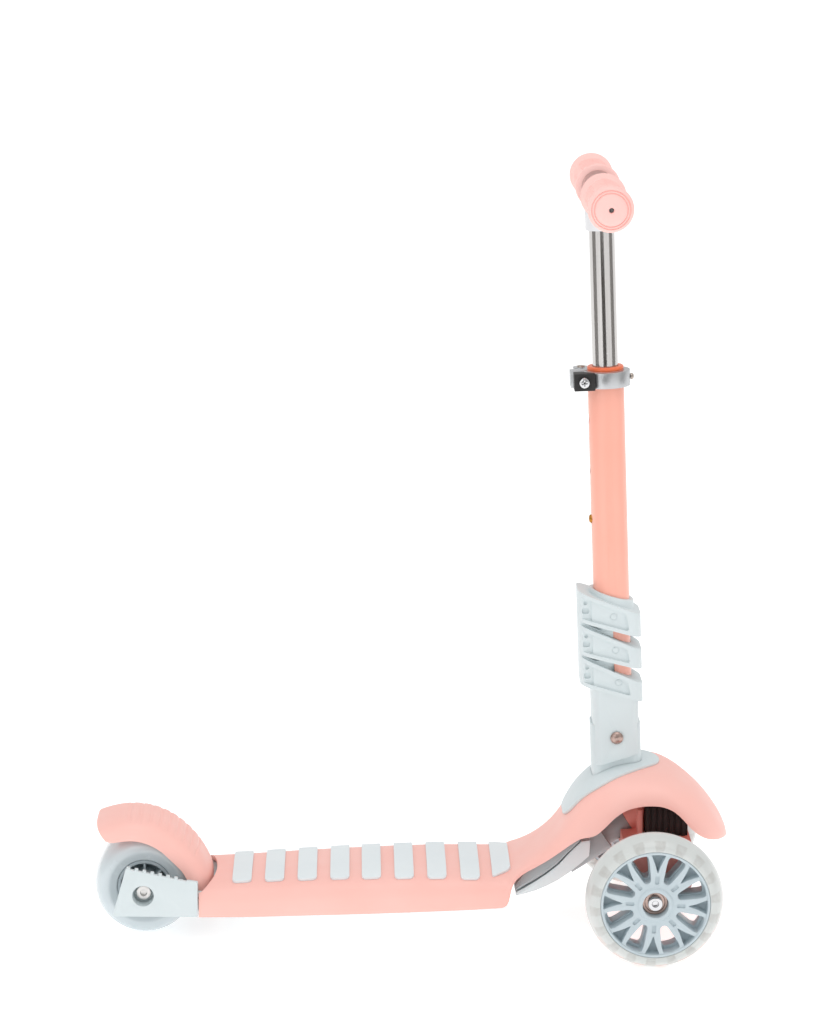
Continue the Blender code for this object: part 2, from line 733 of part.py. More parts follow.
def bearing(name, x, z, y_low):
    ring = tube(BEARING_RADIUS, BEARING_BORE, 0.0, BEARING_WIDTH, "Y")
    place(name, ring, STEEL, (x, y_low, z))


bearing("rear_bearing_left", REAR_AXLE_X, REAR_RADIUS, 21.3)
bearing("rear_bearing_right", REAR_AXLE_X, REAR_RADIUS, -21.3 - BEARING_WIDTH)

# brake fender, a channel bent round the rear wheel and hinged at its front end
rings = []
for angle, crown, skirt in FENDER_STATIONS:
    around = math.radians(angle)
    ring = arch_ring(FENDER_HALF, crown - skirt, FENDER_WALL, 3.0, 10)
    rings.append(
        [
            (
                REAR_AXLE_X + (skirt + up) * math.cos(around),
                across,
                REAR_RADIUS + (skirt + up) * math.sin(around),
            )
            for across, up in ring
        ]
    )
fender = loft(rings)
bmesh.ops.translate(fender, verts=fender.verts, vec=(-PIN_X, 0.0, -PIN_Z))
fender = place("brake_fender", fender, PINK, (PIN_X, 0.0, PIN_Z), smooth=True)
boolean(fender, pin_hole)
place("brake_pin", rod(PIN_RADIUS, -PIN_HALF_LENGTH, PIN_HALF_LENGTH, "Y", 24), STEEL, (PIN_X, 0.0, PIN_Z))

SPRING_COIL = 3.6
SPRING_WIRE = 0.6
SPRING_TURNS = 4
SPRING_STEPS = 8
SPRING_SIDES = 4
SPRING_HALF = 9.0


def coil(radius, wire, turns, half, steps, sides):
    """A round wire wound about the Y axis."""
    rings = []
    for step in range(turns * steps + 1):
        around = 2.0 * math.pi * step / steps
        y = half * (2.0 * step / (turns * steps) - 1.0)
        ring = []
        for side in range(sides):
            tilt = 2.0 * math.pi * side / sides
            reach = radius + wire * math.cos(tilt)
            ring.append((reach * math.cos(around), y + wire * math.sin(tilt), reach * math.sin(around)))
        rings.append(ring)
    return loft(rings)


place(
    "brake_spring",
    coil(SPRING_COIL, SPRING_WIRE, SPRING_TURNS, SPRING_HALF, SPRING_STEPS, SPRING_SIDES),
    STEEL,
    (PIN_X, 0.0, PIN_Z),
)

# ---- front wheels ----------------------------------------
WHEEL_SEGMENTS = 32
WINDOW = ((19.5, 0.0), (23.0, 4.6), (32.0, 8.0), (39.5, 6.6), (41.2, 0.0), (39.5, -6.6), (32.0, -8.0), (23.0, -4.6))
TYRE_PROFILE = [
    (FRONT_HUB_RADIUS + GAP, -17.2),
    (50.5, -17.6),
    (54.6, -14.6),
    (58.3, -8.6),
    (FRONT_RADIUS, 0.0),
    (58.3, 8.6),
    (54.6, 14.6),
    (50.5, 17.6),
    (FRONT_HUB_RADIUS + GAP, 17.2),
    (FRONT_HUB_RADIUS + GAP, 11.4),
    (53.5, 11.4),
    (53.5, -11.4),
    (FRONT_HUB_RADIUS + GAP, -11.4),
]
HUB_SEAT = BEARING_RADIUS + GAP
BEARING_OFFSET = 2.0
HUB_PROFILE = [
    (5.2, -1.7),
    (5.2, 1.7),
    (HUB_SEAT, 1.7),
    (HUB_SEAT, FRONT_HALF_WIDTH),
    (15.0, FRONT_HALF_WIDTH),
    (16.0, 13.0),
    (42.5, 13.0),
    (43.2, 17.4),
    (FRONT_HUB_RADIUS, 17.4),
    (FRONT_HUB_RADIUS, -17.4),
    (43.2, -17.4),
    (42.5, -13.0),
    (16.0, -13.0),
    (15.0, -FRONT_HALF_WIDTH),
    (HUB_SEAT, -FRONT_HALF_WIDTH),
    (HUB_SEAT, -1.7),
]


def wheel_windows():
    bm = bmesh.new()
    for index in range(HUB_ARMS):
        made = outline_prism(list(WINDOW), -30.0, 30.0)
        turn = Matrix.Rotation(2.0 * math.pi * (index + 0.5) / HUB_ARMS, 3, "Y")
        bmesh.ops.rotate(made, verts=made.verts, cent=(0, 0, 0), matrix=turn)
        spare = bpy.data.meshes.new("window")
        made.to_mesh(spare)
        made.free()
        bm.from_mesh(spare)
        bpy.data.meshes.remove(spare)
    return bm


def core_ring():
    """The clear tyre's inner light ring, with blocky teeth round its outside."""
    outer = []
    for tooth in range(CORE_TEETH):
        for share, radius in ((0.0, CORE_ROOT), (0.5, CORE_ROOT), (0.5, CORE_TIP), (1.0, CORE_TIP)):
            around = 2.0 * math.pi * (tooth + share) / CORE_TEETH
            outer.append((radius * math.cos(around), radius * math.sin(around)))
    return outline_prism(outer, -CORE_HALF_WIDTH, CORE_HALF_WIDTH)


for label, side in (("left", 1), ("right", -1)):
    hub_at = (FRONT_AXLE_X, side * FRONT_TRACK_HALF, FRONT_AXLE_Z)
    place(f"front_{label}_tyre", turned(TYRE_PROFILE, "Y", WHEEL_SEGMENTS), CLEAR_TYRE, hub_at, smooth=True)
    core = place(f"front_{label}_light_core", core_ring(), CORE, hub_at)
    bore = rod(FRONT_HUB_RADIUS + GAP, -40.0, 40.0, "Y", WHEEL_SEGMENTS)
    boolean(core, place(f"{label}_core_bore", bore, None, hub_at, cutter=True))
    hub = place(f"front_{label}_hub", turned(HUB_PROFILE, "Y", WHEEL_SEGMENTS), HUB_GREY, hub_at)
    boolean(hub, place(f"{label}_windows", wheel_windows(), None, hub_at, cutter=True))
    for role, away in (("outer", side), ("inner", -side)):
        y_low = side * FRONT_TRACK_HALF + (BEARING_OFFSET if away > 0 else -BEARING_OFFSET - BEARING_WIDTH)
        bearing(f"front_{label}_bearing_{role}", FRONT_AXLE_X, FRONT_AXLE_Z, y_low)
    bolt = turned(
        [
            (0.0, 84.0),
            (AXLE_RADIUS, 84.0),
            (AXLE_RADIUS, 124.3),
            (AXLE_HEAD_RADIUS, 124.3),
            (AXLE_HEAD_RADIUS, 128.7),
            (5.8, 129.3),
            (SOCKET_RADIUS, 129.3),
            (SOCKET_RADIUS, 126.0),
            (0.0, 126.0),
        ],
        "Y",
    )
    if side < 0:
        bmesh.ops.rotate(bolt, verts=bolt.verts, cent=(0, 0, 0), matrix=Matrix.Rotation(math.pi, 3, "Z"))
    place(f"front_{label}_axle_bolt", bolt, STEEL, (FRONT_AXLE_X, 0.0, FRONT_AXLE_Z))

# ---- lean steering: housing under the neck, kingpin and truck ----------------------------------------
HOUSING_STATIONS = (
    (-117.0, 46.0, 40.0, 34.0),
    (-110.0, 57.0, 45.0, 37.0),
    (-100.0, 65.0, 51.5, 38.5),
    (-90.0, 71.0, 58.0, 38.2),
    (-80.0, 77.5, 66.0, 38.2),
    (-70.0, 85.5, 77.0, 38.6),
    (-60.0, 92.5, 87.5, 40.0),
)
COVER_STATIONS = (
    (-116.0, 39.0, 34.5, 30.0, 24.0),
    (-108.0, 44.5, 35.2, 33.0, 24.0),
    (-98.0, 51.0, 37.5, 34.0, 22.0),
    (-88.0, 58.0, 41.5, 34.0, 21.0),
    (-78.0, 66.0, 46.5, 33.0, 20.0),
    (-68.0, 77.0, 53.0, 32.0, 19.0),
    (-58.0, 86.0, 61.0, 30.0, 18.0),
    (-50.0, 86.0, 68.0, 27.0, 17.0),
)


def lean(bm):
    """Lay a shape built along +Z onto the lean axis, pointing up and forward."""
    bmesh.ops.rotate(bm, verts=bm.verts, cent=(0, 0, 0), matrix=Matrix.Rotation(math.pi / 2.0 - LEAN_ANGLE, 3, "Y"))
    return bm


def on_lean(name, bm, skin, cutter=False, smooth=False):
    return place(name, lean(bm), skin, (FRONT_AXLE_X, 0.0, LEAN_Z), 0.0, cutter, smooth)


rings = []
for x, top, ridge, half in HOUSING_STATIONS:
    rings.append(
        [
            (FRONT_AXLE_X + x, -half, top),
            (FRONT_AXLE_X + x, -half, ridge + 0.3 * (top - ridge)),
            (FRONT_AXLE_X + x, -half + 4.0, ridge),
            (FRONT_AXLE_X + x, half - 4.0, ridge),
            (FRONT_AXLE_X + x, half, ridge + 0.3 * (top - ridge)),
            (FRONT_AXLE_X + x, half, top),
        ]
    )
housing = place("pivot_housing", loft(rings), GREY)
ARM_HALF = 16.0
ARM_REACH = 17.5
ARM_CENTRE = -6.5
arm = on_lean(
    "pivot_arm",
    outline_prism(rounded(ARM_REACH, ARM_HALF, 6.0, centre=ARM_CENTRE), -84.0, -42.0, "Z"),
    None,
    cutter=True,
)
boolean(housing, arm, "UNION")
boolean(housing, on_lean("pivot_boss", rod(10.0, -44.0, -18.0), None, cutter=True), "UNION")
boolean(housing, on_lean("kingpin_bore", rod(KINGPIN_BORE, -70.0, 30.0, segments=24), None, cutter=True))
boolean(housing, on_lean("kingpin_pocket", rod(8.8, -160.0, -52.2), None, cutter=True))

rings = []
for x, top, low, half, keel in COVER_STATIONS:
    rings.append(
        [
            (FRONT_AXLE_X + x, -half, top - GAP - 0.2),
            (FRONT_AXLE_X + x, -half + 1.0, top - 4.0),
            (FRONT_AXLE_X + x, -keel, low),
            (FRONT_AXLE_X + x, keel, low),
            (FRONT_AXLE_X + x, half - 1.0, top - 4.0),
            (FRONT_AXLE_X + x, half, top - GAP - 0.2),
        ]
    )
pivot_cover = place("pivot_cover", loft(rings), GREY)
arm_room = on_lean(
    "pivot_arm_room",
    outline_prism(rounded(ARM_REACH + GAP, ARM_HALF + GAP, 6.0, centre=ARM_CENTRE), -90.0, -30.0, "Z"),
    None,
    cutter=True,
)
boolean(pivot_cover, arm_room)

kingpin = turned(
    [(0.0, -58.0), (8.0, -58.0), (8.0, -52.5), (KINGPIN_RADIUS, -52.5), (KINGPIN_RADIUS, 12.0), (0.0, 12.0)], "Z", 24
)
on_lean("kingpin", kingpin, STEEL)
on_lean("kingpin_nut", rod(8.0, 12.3, 18.0, segments=6), STEEL)

TRUCK_INNER = 80.0
TRUCK_OUTER = 94.0
BEAM_SIDE = ((-22.0, 91.5), (38.0, 91.5), (38.0, 84.0), (30.0, 72.0), (-14.0, 69.0), (-22.0, 76.0))
UPRIGHT_SIDE = (
    (-24.0, 92.5),
    (39.5, 92.5),
    (38.6, 72.3),
    (30.0, 57.0),
    (15.0, 48.5),
    (0.0, 46.0),
    (-12.0, 50.0),
    (-21.0, 64.0),
)
WEB_SIDE = ((-12.0, 88.0), (14.0, 88.0), (14.0, 108.0), (-5.0, 108.0))
RIB_TOP = 113.0
RIB_SIDE = ((-8.0, 88.0), (-3.5, 88.0), (-3.5, RIB_TOP), (-8.0, RIB_TOP))
RIB_HALF = 26.0
SPACER_RADIUS = 6.4


def on_truck(name, bm, skin, cutter=False):
    """Build round the front axle, then give the piece its origin on the lean axis."""
    bmesh.ops.translate(bm, verts=bm.verts, vec=(0.0, 0.0, -LEAN_Z))
    return place(name, bm, skin, (FRONT_AXLE_X, 0.0, LEAN_Z), 0.0, cutter)


truck = on_truck("truck_beam", outline_prism(list(BEAM_SIDE), -TRUCK_INNER - 1.0, TRUCK_INNER + 1.0), SALMON)
for side in (1, -1):
    low, high = sorted((side * TRUCK_INNER, side * TRUCK_OUTER))
    upright = outline_prism(list(UPRIGHT_SIDE), low, high)
    boolean(truck, on_truck(f"truck_upright_{side}", upright, None, True), "UNION")
    low, high = sorted((side * (TRUCK_OUTER - 2.0), side * 105.7))
    spacer = shifted(rod(SPACER_RADIUS, low, high, "Y"), z=FRONT_AXLE_Z)
    boolean(truck, on_truck(f"truck_spacer_{side}", spacer, None, True), "UNION")
boolean(truck, on_truck("truck_web", outline_prism(list(WEB_SIDE), -9.0, 9.0), None, True), "UNION")
boolean(truck, on_truck("truck_rib", outline_prism(list(RIB_SIDE), -RIB_HALF, RIB_HALF), None, True), "UNION")
boolean(truck, on_lean("truck_boss", rod(11.0, -17.8, 12.3, segments=24), None, cutter=True), "UNION")
boolean(truck, on_lean("truck_relief", rod(12.0, -80.0, -17.6), None, cutter=True))
boolean(truck, on_lean("truck_nut_relief", rod(9.2, 12.0, 40.0), None, cutter=True))
boolean(truck, on_lean("truck_bore", rod(KINGPIN_BORE, -90.0, 60.0, segments=24), None, cutter=True))
stud = shifted(rod(AXLE_RADIUS + 0.08, -110.0, 110.0, "Y", 24), z=FRONT_AXLE_Z)
boolean(truck, on_truck("truck_axle_hole", stud, None, True))

RUBBER_REAR = -1.0
RUBBER_FRONT = 36.0
RUBBER_INNER = 13.0
RUBBER_OUTER = 34.0
RUBBER_TOP = 118.0
RUBBER_RIBS = 7
RIB_DEPTH = 1.2


def ribbed_outline(side):
    points = []
    pitch = (RUBBER_FRONT - RUBBER_REAR) / RUBBER_RIBS
    for rib in range(RUBBER_RIBS):
        start = RUBBER_REAR + pitch * rib
        for share, depth in ((0.0, 0.0), (0.6, 0.0), (0.7, RIB_DEPTH), (0.9, RIB_DEPTH)):
            points.append((start + pitch * share, side * (RUBBER_OUTER - depth)))
    return points + [
        (RUBBER_FRONT, side * RUBBER_OUTER),
        (RUBBER_FRONT, side * RUBBER_INNER),
        (RUBBER_REAR, side * RUBBER_INNER),
    ]


for label, side in (("left", 1), ("right", -1)):
    on_truck(f"steering_rubber_{label}", outline_prism(ribbed_outline(side), 91.8, RUBBER_TOP, "Z"), RUBBER)

# ---- clamp at the top of the outer tube ----------------------------------------
COLLAR_RADIUS = 21.5
COLLAR_LOW = 304.0
COLLAR_HIGH = 317.7
CLAMP_X = -20.0
CLAMP_S = 311.0
CLAMP_BOLT_RADIUS = 2.5
BARREL_Y = 21.5
BARREL_RADIUS = 3.5
LEVER_BORE = 3.58
LEVER_EAR = 7.2
LEVER_INNER = 22.4
LEVER_OUTER = 27.4

collar = on_column(
    "clamp_collar", tube(COLLAR_RADIUS, TUBE_RADIUS + GAP, COLLAR_LOW, COLLAR_HIGH, segments=32), ALUMINIUM
)
lugs = on_column("collar_lugs", box(-31.0, -16.0, -9.0, 9.0, COLLAR_LOW, COLLAR_HIGH), None, cutter=True)
boolean(collar, lugs, "UNION")
slit = on_column("collar_slit", box(-40.0, -8.0, -1.2, 1.2, 290.0, 330.0), None, cutter=True)
boolean(collar, slit)
boolean(collar, tube_hole)
collar_bore = on_column("collar_bore", rod(TUBE_RADIUS + GAP, 290.0, 330.0, segments=32), None, cutter=True)
boolean(collar, collar_bore)
clamp_hole = on_column(
    "clamp_hole", shifted(rod(CLAMP_BOLT_RADIUS + GAP, -40.0, 14.0, "Y"), CLAMP_X, 0.0, CLAMP_S), None, cutter=True
)
boolean(collar, clamp_hole)
screw_hole = on_column("collar_screw_hole", shifted(rod(1.8, 10.0, 30.0, "X"), z=CLAMP_S), None, cutter=True)
boolean(collar, screw_hole)

block = on_column("clamp_block", box(-28.7, -10.7, -24.0, -9.3, CLAMP_S - 7.5, CLAMP_S + 7.5), BLACK)
collar_room = on_column("collar_room", rod(COLLAR_RADIUS + GAP, 290.0, 330.0, segments=32), None, cutter=True)
boolean(block, collar_room)
boolean(block, clamp_hole)
far_hole = on_column(
    "clamp_far_hole",
    shifted(rod(CLAMP_BOLT_RADIUS + GAP, 5.0, 20.0, "Y"), CLAMP_X, 0.0, CLAMP_S),
    None,
    cutter=True,
)
boolean(collar, far_hole)
on_column("clamp_bolt", shifted(rod(CLAMP_BOLT_RADIUS, -24.0, 17.6, "Y"), CLAMP_X, 0.0, CLAMP_S), STEEL)
cap_nut = turned([(0.0, 24.3), (4.8, 24.3), (4.8, 27.0), (3.8, 28.2), (0.0, 28.4)], "Y")
bmesh.ops.rotate(cap_nut, verts=cap_nut.verts, cent=(0, 0, 0), matrix=Matrix.Rotation(math.pi, 3, "Z"))
on_column("clamp_nut", shifted(cap_nut, CLAMP_X, 0.0, CLAMP_S), STEEL)
on_column(
    "lever_barrel",
    shifted(rod(BARREL_RADIUS, COLLAR_LOW - 0.5, COLLAR_HIGH + 0.8, segments=24), CLAMP_X, BARREL_Y, 0.0),
    STEEL,
)
collar_screw = turned(
    [(0.0, 17.0), (1.5, 17.0), (1.5, 21.8), (3.0, 21.8), (2.7, 23.6), (1.4, 24.6), (0.0, 24.8)], "X", 16
)
on_column("collar_screw", shifted(collar_screw, z=CLAMP_S), STEEL)

# cam lever: two ears round the barrel and an arm that wraps the far side of the collar
BARREL_ALONG = Vector((math.cos(COLUMN_LEAN), 0.0, -math.sin(COLUMN_LEAN))) * CLAMP_X
BARREL_UP = Vector((math.sin(COLUMN_LEAN), 0.0, math.cos(COLUMN_LEAN))) * CLAMP_S
LEVER_ORIGIN = Vector((COLUMN_X, BARREL_Y, COLUMN_Z)) + BARREL_ALONG + BARREL_UP


def on_lever(name, bm, skin, cutter=False):
    """Build in the column's frame, then give the piece its origin on the barrel's axis."""
    bmesh.ops.translate(bm, verts=bm.verts, vec=(-CLAMP_X, -BARREL_Y, -CLAMP_S))
    return place(name, bm, skin, LEVER_ORIGIN, COLUMN_LEAN, cutter)


def lever_arm():
    outer, inner = [], []
    for step in range(9):
        around = math.radians(132.0 - 9.5 * step)
        outer.append((LEVER_OUTER * math.cos(around), LEVER_OUTER * math.sin(around)))
        inner.append((LEVER_INNER * math.cos(around), LEVER_INNER * math.sin(around)))
    return outer + list(reversed(inner))


lever = on_lever("clamp_lever", outline_prism(lever_arm(), CLAMP_S - 5.8, CLAMP_S + 5.8, "Z"), ALUMINIUM)
ears = on_lever(
    "lever_ears",
    shifted(rod(LEVER_EAR, CLAMP_S - 6.3, CLAMP_S + 6.3), CLAMP_X, BARREL_Y, 0.0),
    None,
    cutter=True,
)
boolean(lever, ears, "UNION")
mouth = on_lever(
    "lever_mouth",
    shifted(rod(LEVER_EAR + 0.6, CLAMP_S - 3.2, CLAMP_S + 3.2), CLAMP_X, BARREL_Y, 0.0),
    None,
    cutter=True,
)
boolean(lever, mouth)
eye = on_lever(
    "lever_eye",
    shifted(rod(LEVER_BORE, CLAMP_S - 20.0, CLAMP_S + 20.0, segments=24), CLAMP_X, BARREL_Y, 0.0),
    None,
    cutter=True,
)
boolean(lever, eye)

# ---- handle: inner tube, cross bar, grips and height button ----------------------------------------
shim_profile = [(11.4, 288.0), (13.9, 288.0), (13.9, 318.3), (15.9, 318.3), (15.9, 321.5), (11.4, 321.5)]
on_column("tube_shim", turned(shim_profile, "Z", 28), ORANGE, smooth=False)

inner_tube = on_column(
    "inner_tube", tube(INNER_RADIUS, INNER_BORE, INNER_BOTTOM, BAR_HEIGHT - 11.5, segments=28), CHROME
)
BUTTON_S = HEIGHT_HOLES[0]
button_hole = on_column(
    "button_hole", shifted(rod(BUTTON_RADIUS + GAP, -30.0, -4.0, "X"), z=BUTTON_S), None, cutter=True
)
boolean(inner_tube, button_hole)
button = turned(
    [(0.0, 6.8), (5.0, 6.8), (5.0, 7.9), (BUTTON_RADIUS, 7.9), (BUTTON_RADIUS, 16.4), (2.8, 17.7), (0.0, 18.2)], "X"
)
bmesh.ops.rotate(button, verts=button.verts, cent=(0, 0, 0), matrix=Matrix.Rotation(math.pi, 3, "Z"))
on_column("height_button", shifted(button, z=BUTTON_S), BRASS)
spring = coil(3.0, 0.5, 3, 6.9, 8, 4)
bmesh.ops.rotate(spring, verts=spring.verts, cent=(0, 0, 0), matrix=Matrix.Rotation(math.radians(90.0), 3, "Z"))
on_column("button_spring", shifted(spring, 1.1, 0.0, BUTTON_S), STEEL)

tee = on_column("tee_joint", shifted(rod(TEE_RADIUS, -32.0, 32.0, "Y", 24), z=BAR_HEIGHT), CHROME)
neck = on_column("tee_neck", rod(TEE_RADIUS - 0.3, BAR_HEIGHT - 33.0, BAR_HEIGHT, segments=24), None, cutter=True)
boolean(tee, neck, "UNION")
tee_bore = on_column(
    "tee_bore", rod(INNER_RADIUS + GAP, BAR_HEIGHT - 40.0, BAR_HEIGHT, segments=28), None, cutter=True
)
boolean(tee, tee_bore)
bar_bore = on_column(
    "bar_bore", shifted(rod(BAR_RADIUS + GAP, -60.0, 60.0, "Y", 28), z=BAR_HEIGHT), None, cutter=True
)
boolean(tee, bar_bore)
bar = tube(BAR_RADIUS, BAR_RADIUS - 1.5, -127.4, 127.4, "Y", 28)
on_column("handlebar_tube", shifted(bar, z=BAR_HEIGHT), CHROME)

GRIP_PROFILE = [
    (BAR_RADIUS + GAP, GRIP_INNER),
    (FLANGE_RADIUS - 1.0, GRIP_INNER),
    (FLANGE_RADIUS - 0.6, GRIP_INNER + 4.0),
    (GRIP_RADIUS, GRIP_INNER + 6.5),
    (GRIP_RADIUS, 115.5),
    (FLANGE_RADIUS, 120.0),
    (FLANGE_RADIUS, 125.5),
    (15.4, 129.5),
    (12.0, 132.4),
    (2.2, GRIP_END),
    (2.2, 127.9),
    (BAR_RADIUS + GAP, 127.9),
]
for label, side in (("left", 1), ("right", -1)):
    grip = turned(GRIP_PROFILE, "Y", 24)
    if side < 0:
        bmesh.ops.rotate(grip, verts=grip.verts, cent=(0, 0, 0), matrix=Matrix.Rotation(math.pi, 3, "Z"))
    on_column(f"grip_{label}", shifted(grip, z=BAR_HEIGHT), GRIP_PINK, smooth=True)
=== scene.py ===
import json
import math

import bmesh
import bpy
from mathutils import Matrix, Vector


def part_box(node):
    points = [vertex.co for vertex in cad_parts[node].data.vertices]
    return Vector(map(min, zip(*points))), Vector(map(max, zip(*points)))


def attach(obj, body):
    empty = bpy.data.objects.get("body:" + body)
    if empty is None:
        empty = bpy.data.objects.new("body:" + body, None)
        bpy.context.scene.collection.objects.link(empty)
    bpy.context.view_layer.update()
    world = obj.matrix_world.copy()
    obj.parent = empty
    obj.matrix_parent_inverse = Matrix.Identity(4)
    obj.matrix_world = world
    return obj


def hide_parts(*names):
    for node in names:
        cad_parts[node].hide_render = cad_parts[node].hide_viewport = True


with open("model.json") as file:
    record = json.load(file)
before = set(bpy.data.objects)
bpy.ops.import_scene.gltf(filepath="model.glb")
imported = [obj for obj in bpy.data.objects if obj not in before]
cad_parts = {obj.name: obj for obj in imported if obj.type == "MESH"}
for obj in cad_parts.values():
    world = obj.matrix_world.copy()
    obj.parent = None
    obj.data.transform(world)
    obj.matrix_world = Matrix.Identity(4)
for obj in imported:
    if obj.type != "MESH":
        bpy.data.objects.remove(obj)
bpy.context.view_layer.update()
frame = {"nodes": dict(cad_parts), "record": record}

# Lengths are in millimetres until a mesh is made; X along the scooter is measured from the front axle.
MM = 0.001
AXLE_X = 209.75
AXLE_Z = 60.0
TRACK_HALF = 115.0
REAR_X = -237.25
REAR_Z = 45.5

NODES = frame["nodes"]


# ---- materials ---------------------------------------------------------------------------------------------
def linear(red, green, blue):
    """A colour given as 0 to 255 on a screen, as scene-linear values."""
    out = []
    for value in (red, green, blue):
        share = value / 255.0
        out.append(share / 12.92 if share <= 0.04045 else ((share + 0.055) / 1.055) ** 2.4)
    return (*out, 1.0)


def new_material(name):
    made = bpy.data.materials.new(name)
    made.use_nodes = True
    return made, made.node_tree.nodes, made.node_tree.links, made.node_tree.nodes["Principled BSDF"]


def noise(nodes, links, scale, detail, coords, stretch=None):
    texture = nodes.new("ShaderNodeTexNoise")
    texture.inputs["Scale"].default_value = scale
    texture.inputs["Detail"].default_value = detail
    source = coords
    if stretch:
        mapping = nodes.new("ShaderNodeMapping")
        mapping.inputs["Scale"].default_value = stretch
        links.new(coords, mapping.inputs["Vector"])
        source = mapping.outputs["Vector"]
    links.new(source, texture.inputs["Vector"])
    return texture.outputs["Fac"]


def spread(nodes, links, value, low, high):
    """Map a 0 to 1 signal onto a range."""
    ramp = nodes.new("ShaderNodeMapRange")
    ramp.inputs["From Min"].default_value = 0.3
    ramp.inputs["From Max"].default_value = 0.7
    ramp.inputs["To Min"].default_value = low
    ramp.inputs["To Max"].default_value = high
    links.new(value, ramp.inputs["Value"])
    return ramp.outputs["Result"]


def two_tone(nodes, links, share, first, second):
    mix = nodes.new("ShaderNodeMix")
    mix.data_type = "RGBA"
    links.new(share, mix.inputs["Factor"])
    mix.inputs["A"].default_value = first
    mix.inputs["B"].default_value = second
    return mix.outputs["Result"]


def surface(name, first, second, rough, metallic=0.0, grain=900.0, depth=0.00004, coat=0.0, subsurface=0.0):
    """A moulded, painted or plated surface: two close tones in soft clouds, a fine grain and uneven gloss."""
    made, nodes, links, shader = new_material(name)
    coords = nodes.new("ShaderNodeTexCoord").outputs["Object"]
    clouds = noise(nodes, links, 14.0, 3.0, coords)
    fine = noise(nodes, links, grain, 2.0, coords)
    smears = noise(nodes, links, 55.0, 4.0, coords)
    base = two_tone(nodes, links, spread(nodes, links, clouds, 0.0, 1.0), first, second)
    links.new(base, shader.inputs["Base Color"])
    links.new(spread(nodes, links, smears, rough[0], rough[1]), shader.inputs["Roughness"])
    shader.inputs["Metallic"].default_value = metallic
    shader.inputs["Coat Weight"].default_value = coat
    shader.inputs["Coat Roughness"].default_value = 0.12
    if subsurface:
        shader.inputs["Subsurface Weight"].default_value = subsurface
        shader.inputs["Subsurface Radius"].default_value = (0.004, 0.002, 0.0015)
        shader.inputs["Subsurface Scale"].default_value = 1.0
    bump = nodes.new("ShaderNodeBump")
    bump.inputs["Strength"].default_value = 1.0
    bump.inputs["Distance"].default_value = depth
    links.new(fine, bump.inputs["Height"])
    links.new(bump.outputs["Normal"], shader.inputs["Normal"])
    return made


PINK = surface("Pink_plastic", linear(254, 199, 189), linear(253, 193, 182), (0.38, 0.5), depth=0.00005)
SALMON = surface(
    "Salmon_paint", linear(254, 182, 163), linear(253, 178, 158), (0.28, 0.4), depth=0.00001, coat=0.2
)
TRUCK_PINK = surface("Truck_plastic", linear(252, 170, 158), linear(249, 163, 151), (0.4, 0.52))
GREY = surface("Grey_plastic", linear(216, 225, 227), linear(211, 221, 223), (0.4, 0.52))
STRIP_GREY = surface(
    "Grip_strip_plastic", linear(230, 237, 239), linear(225, 233, 236), (0.45, 0.6), depth=0.00009
)
HUB_GREY = surface("Hub_plastic", linear(197, 209, 214), linear(190, 203, 209), (0.35, 0.48))
SHADED_GREY = surface("Shaded_plastic", linear(168, 174, 176), linear(158, 165, 168), (0.42, 0.55))
BLUE_TYRE = surface(
    "Blue_grey_tyre", linear(212, 221, 225), linear(205, 215, 219), (0.16, 0.28), depth=0.00002, coat=0.5
)
CORE_GREY = surface("Rear_core_plastic", linear(176, 188, 193), linear(164, 177, 183), (0.4, 0.6))
STEEL = surface(
    "Plated_steel", linear(190, 178, 168), linear(168, 156, 148), (0.22, 0.38), 1.0, 400.0, 0.00002
)
COPPERY = surface(
    "Coppery_screw", linear(206, 182, 172), linear(170, 146, 138), (0.2, 0.4), 1.0, 300.0, 0.00003
)
SILVER = surface(
    "Silver_screw", linear(228, 226, 224), linear(210, 208, 206), (0.2, 0.35), 1.0, 300.0, 0.00002
)
CHROME = surface("Chrome", linear(214, 214, 216), linear(206, 206, 208), (0.06, 0.16), 1.0, 200.0, 0.000004)
ALUMINIUM = surface(
    "Tumbled_aluminium", linear(205, 207, 209), linear(186, 188, 190), (0.3, 0.5), 1.0, 1400.0, 0.00006
)
BLACK = surface("Black_plastic", linear(38, 36, 36), linear(28, 26, 26), (0.45, 0.6))
RUBBER = surface("Black_rubber", linear(34, 26, 25), linear(24, 18, 17), (0.6, 0.8), depth=0.0001)
BRASS = surface("Brass", linear(205, 150, 70), linear(186, 128, 56), (0.25, 0.4), 1.0, 400.0, 0.00002)
ORANGE = surface("Orange_shim", linear(250, 128, 84), linear(244, 116, 70), (0.25, 0.35), subsurface=0.2)
GRIP = surface("Grip_rubber", linear(255, 208, 201), linear(254, 201, 194), (0.55, 0.72), depth=0.0001)


# ---- shape helpers -----------------------------------------------------------------------------------------
def put(name, bm, skin, origin=(0.0, 0.0, 0.0), turn=0.0):
    """A smooth piece from a mesh in millimetres, at an origin in millimetres, turned about Y."""
    bmesh.ops.remove_doubles(bm, verts=bm.verts, dist=0.002)
    bmesh.ops.recalc_face_normals(bm, faces=bm.faces)
    bmesh.ops.scale(bm, vec=(MM, MM, MM), verts=bm.verts)
    for face in bm.faces:
        face.smooth = True
    mesh = bpy.data.meshes.new(name)
    bm.to_mesh(mesh)
    bm.free()
    made = bpy.data.objects.new(name, mesh)
    made.location = Vector(origin) * MM
    made.rotation_euler = (0.0, turn, 0.0)
    mesh.materials.append(skin)
    bpy.context.scene.collection.objects.link(made)
    return made


def cutter(name, bm, origin=(0.0, 0.0, 0.0), turn=0.0):
    made = put(name, bm, PINK, origin, turn)
    made.hide_render = True
    made.hide_viewport = True
    return made


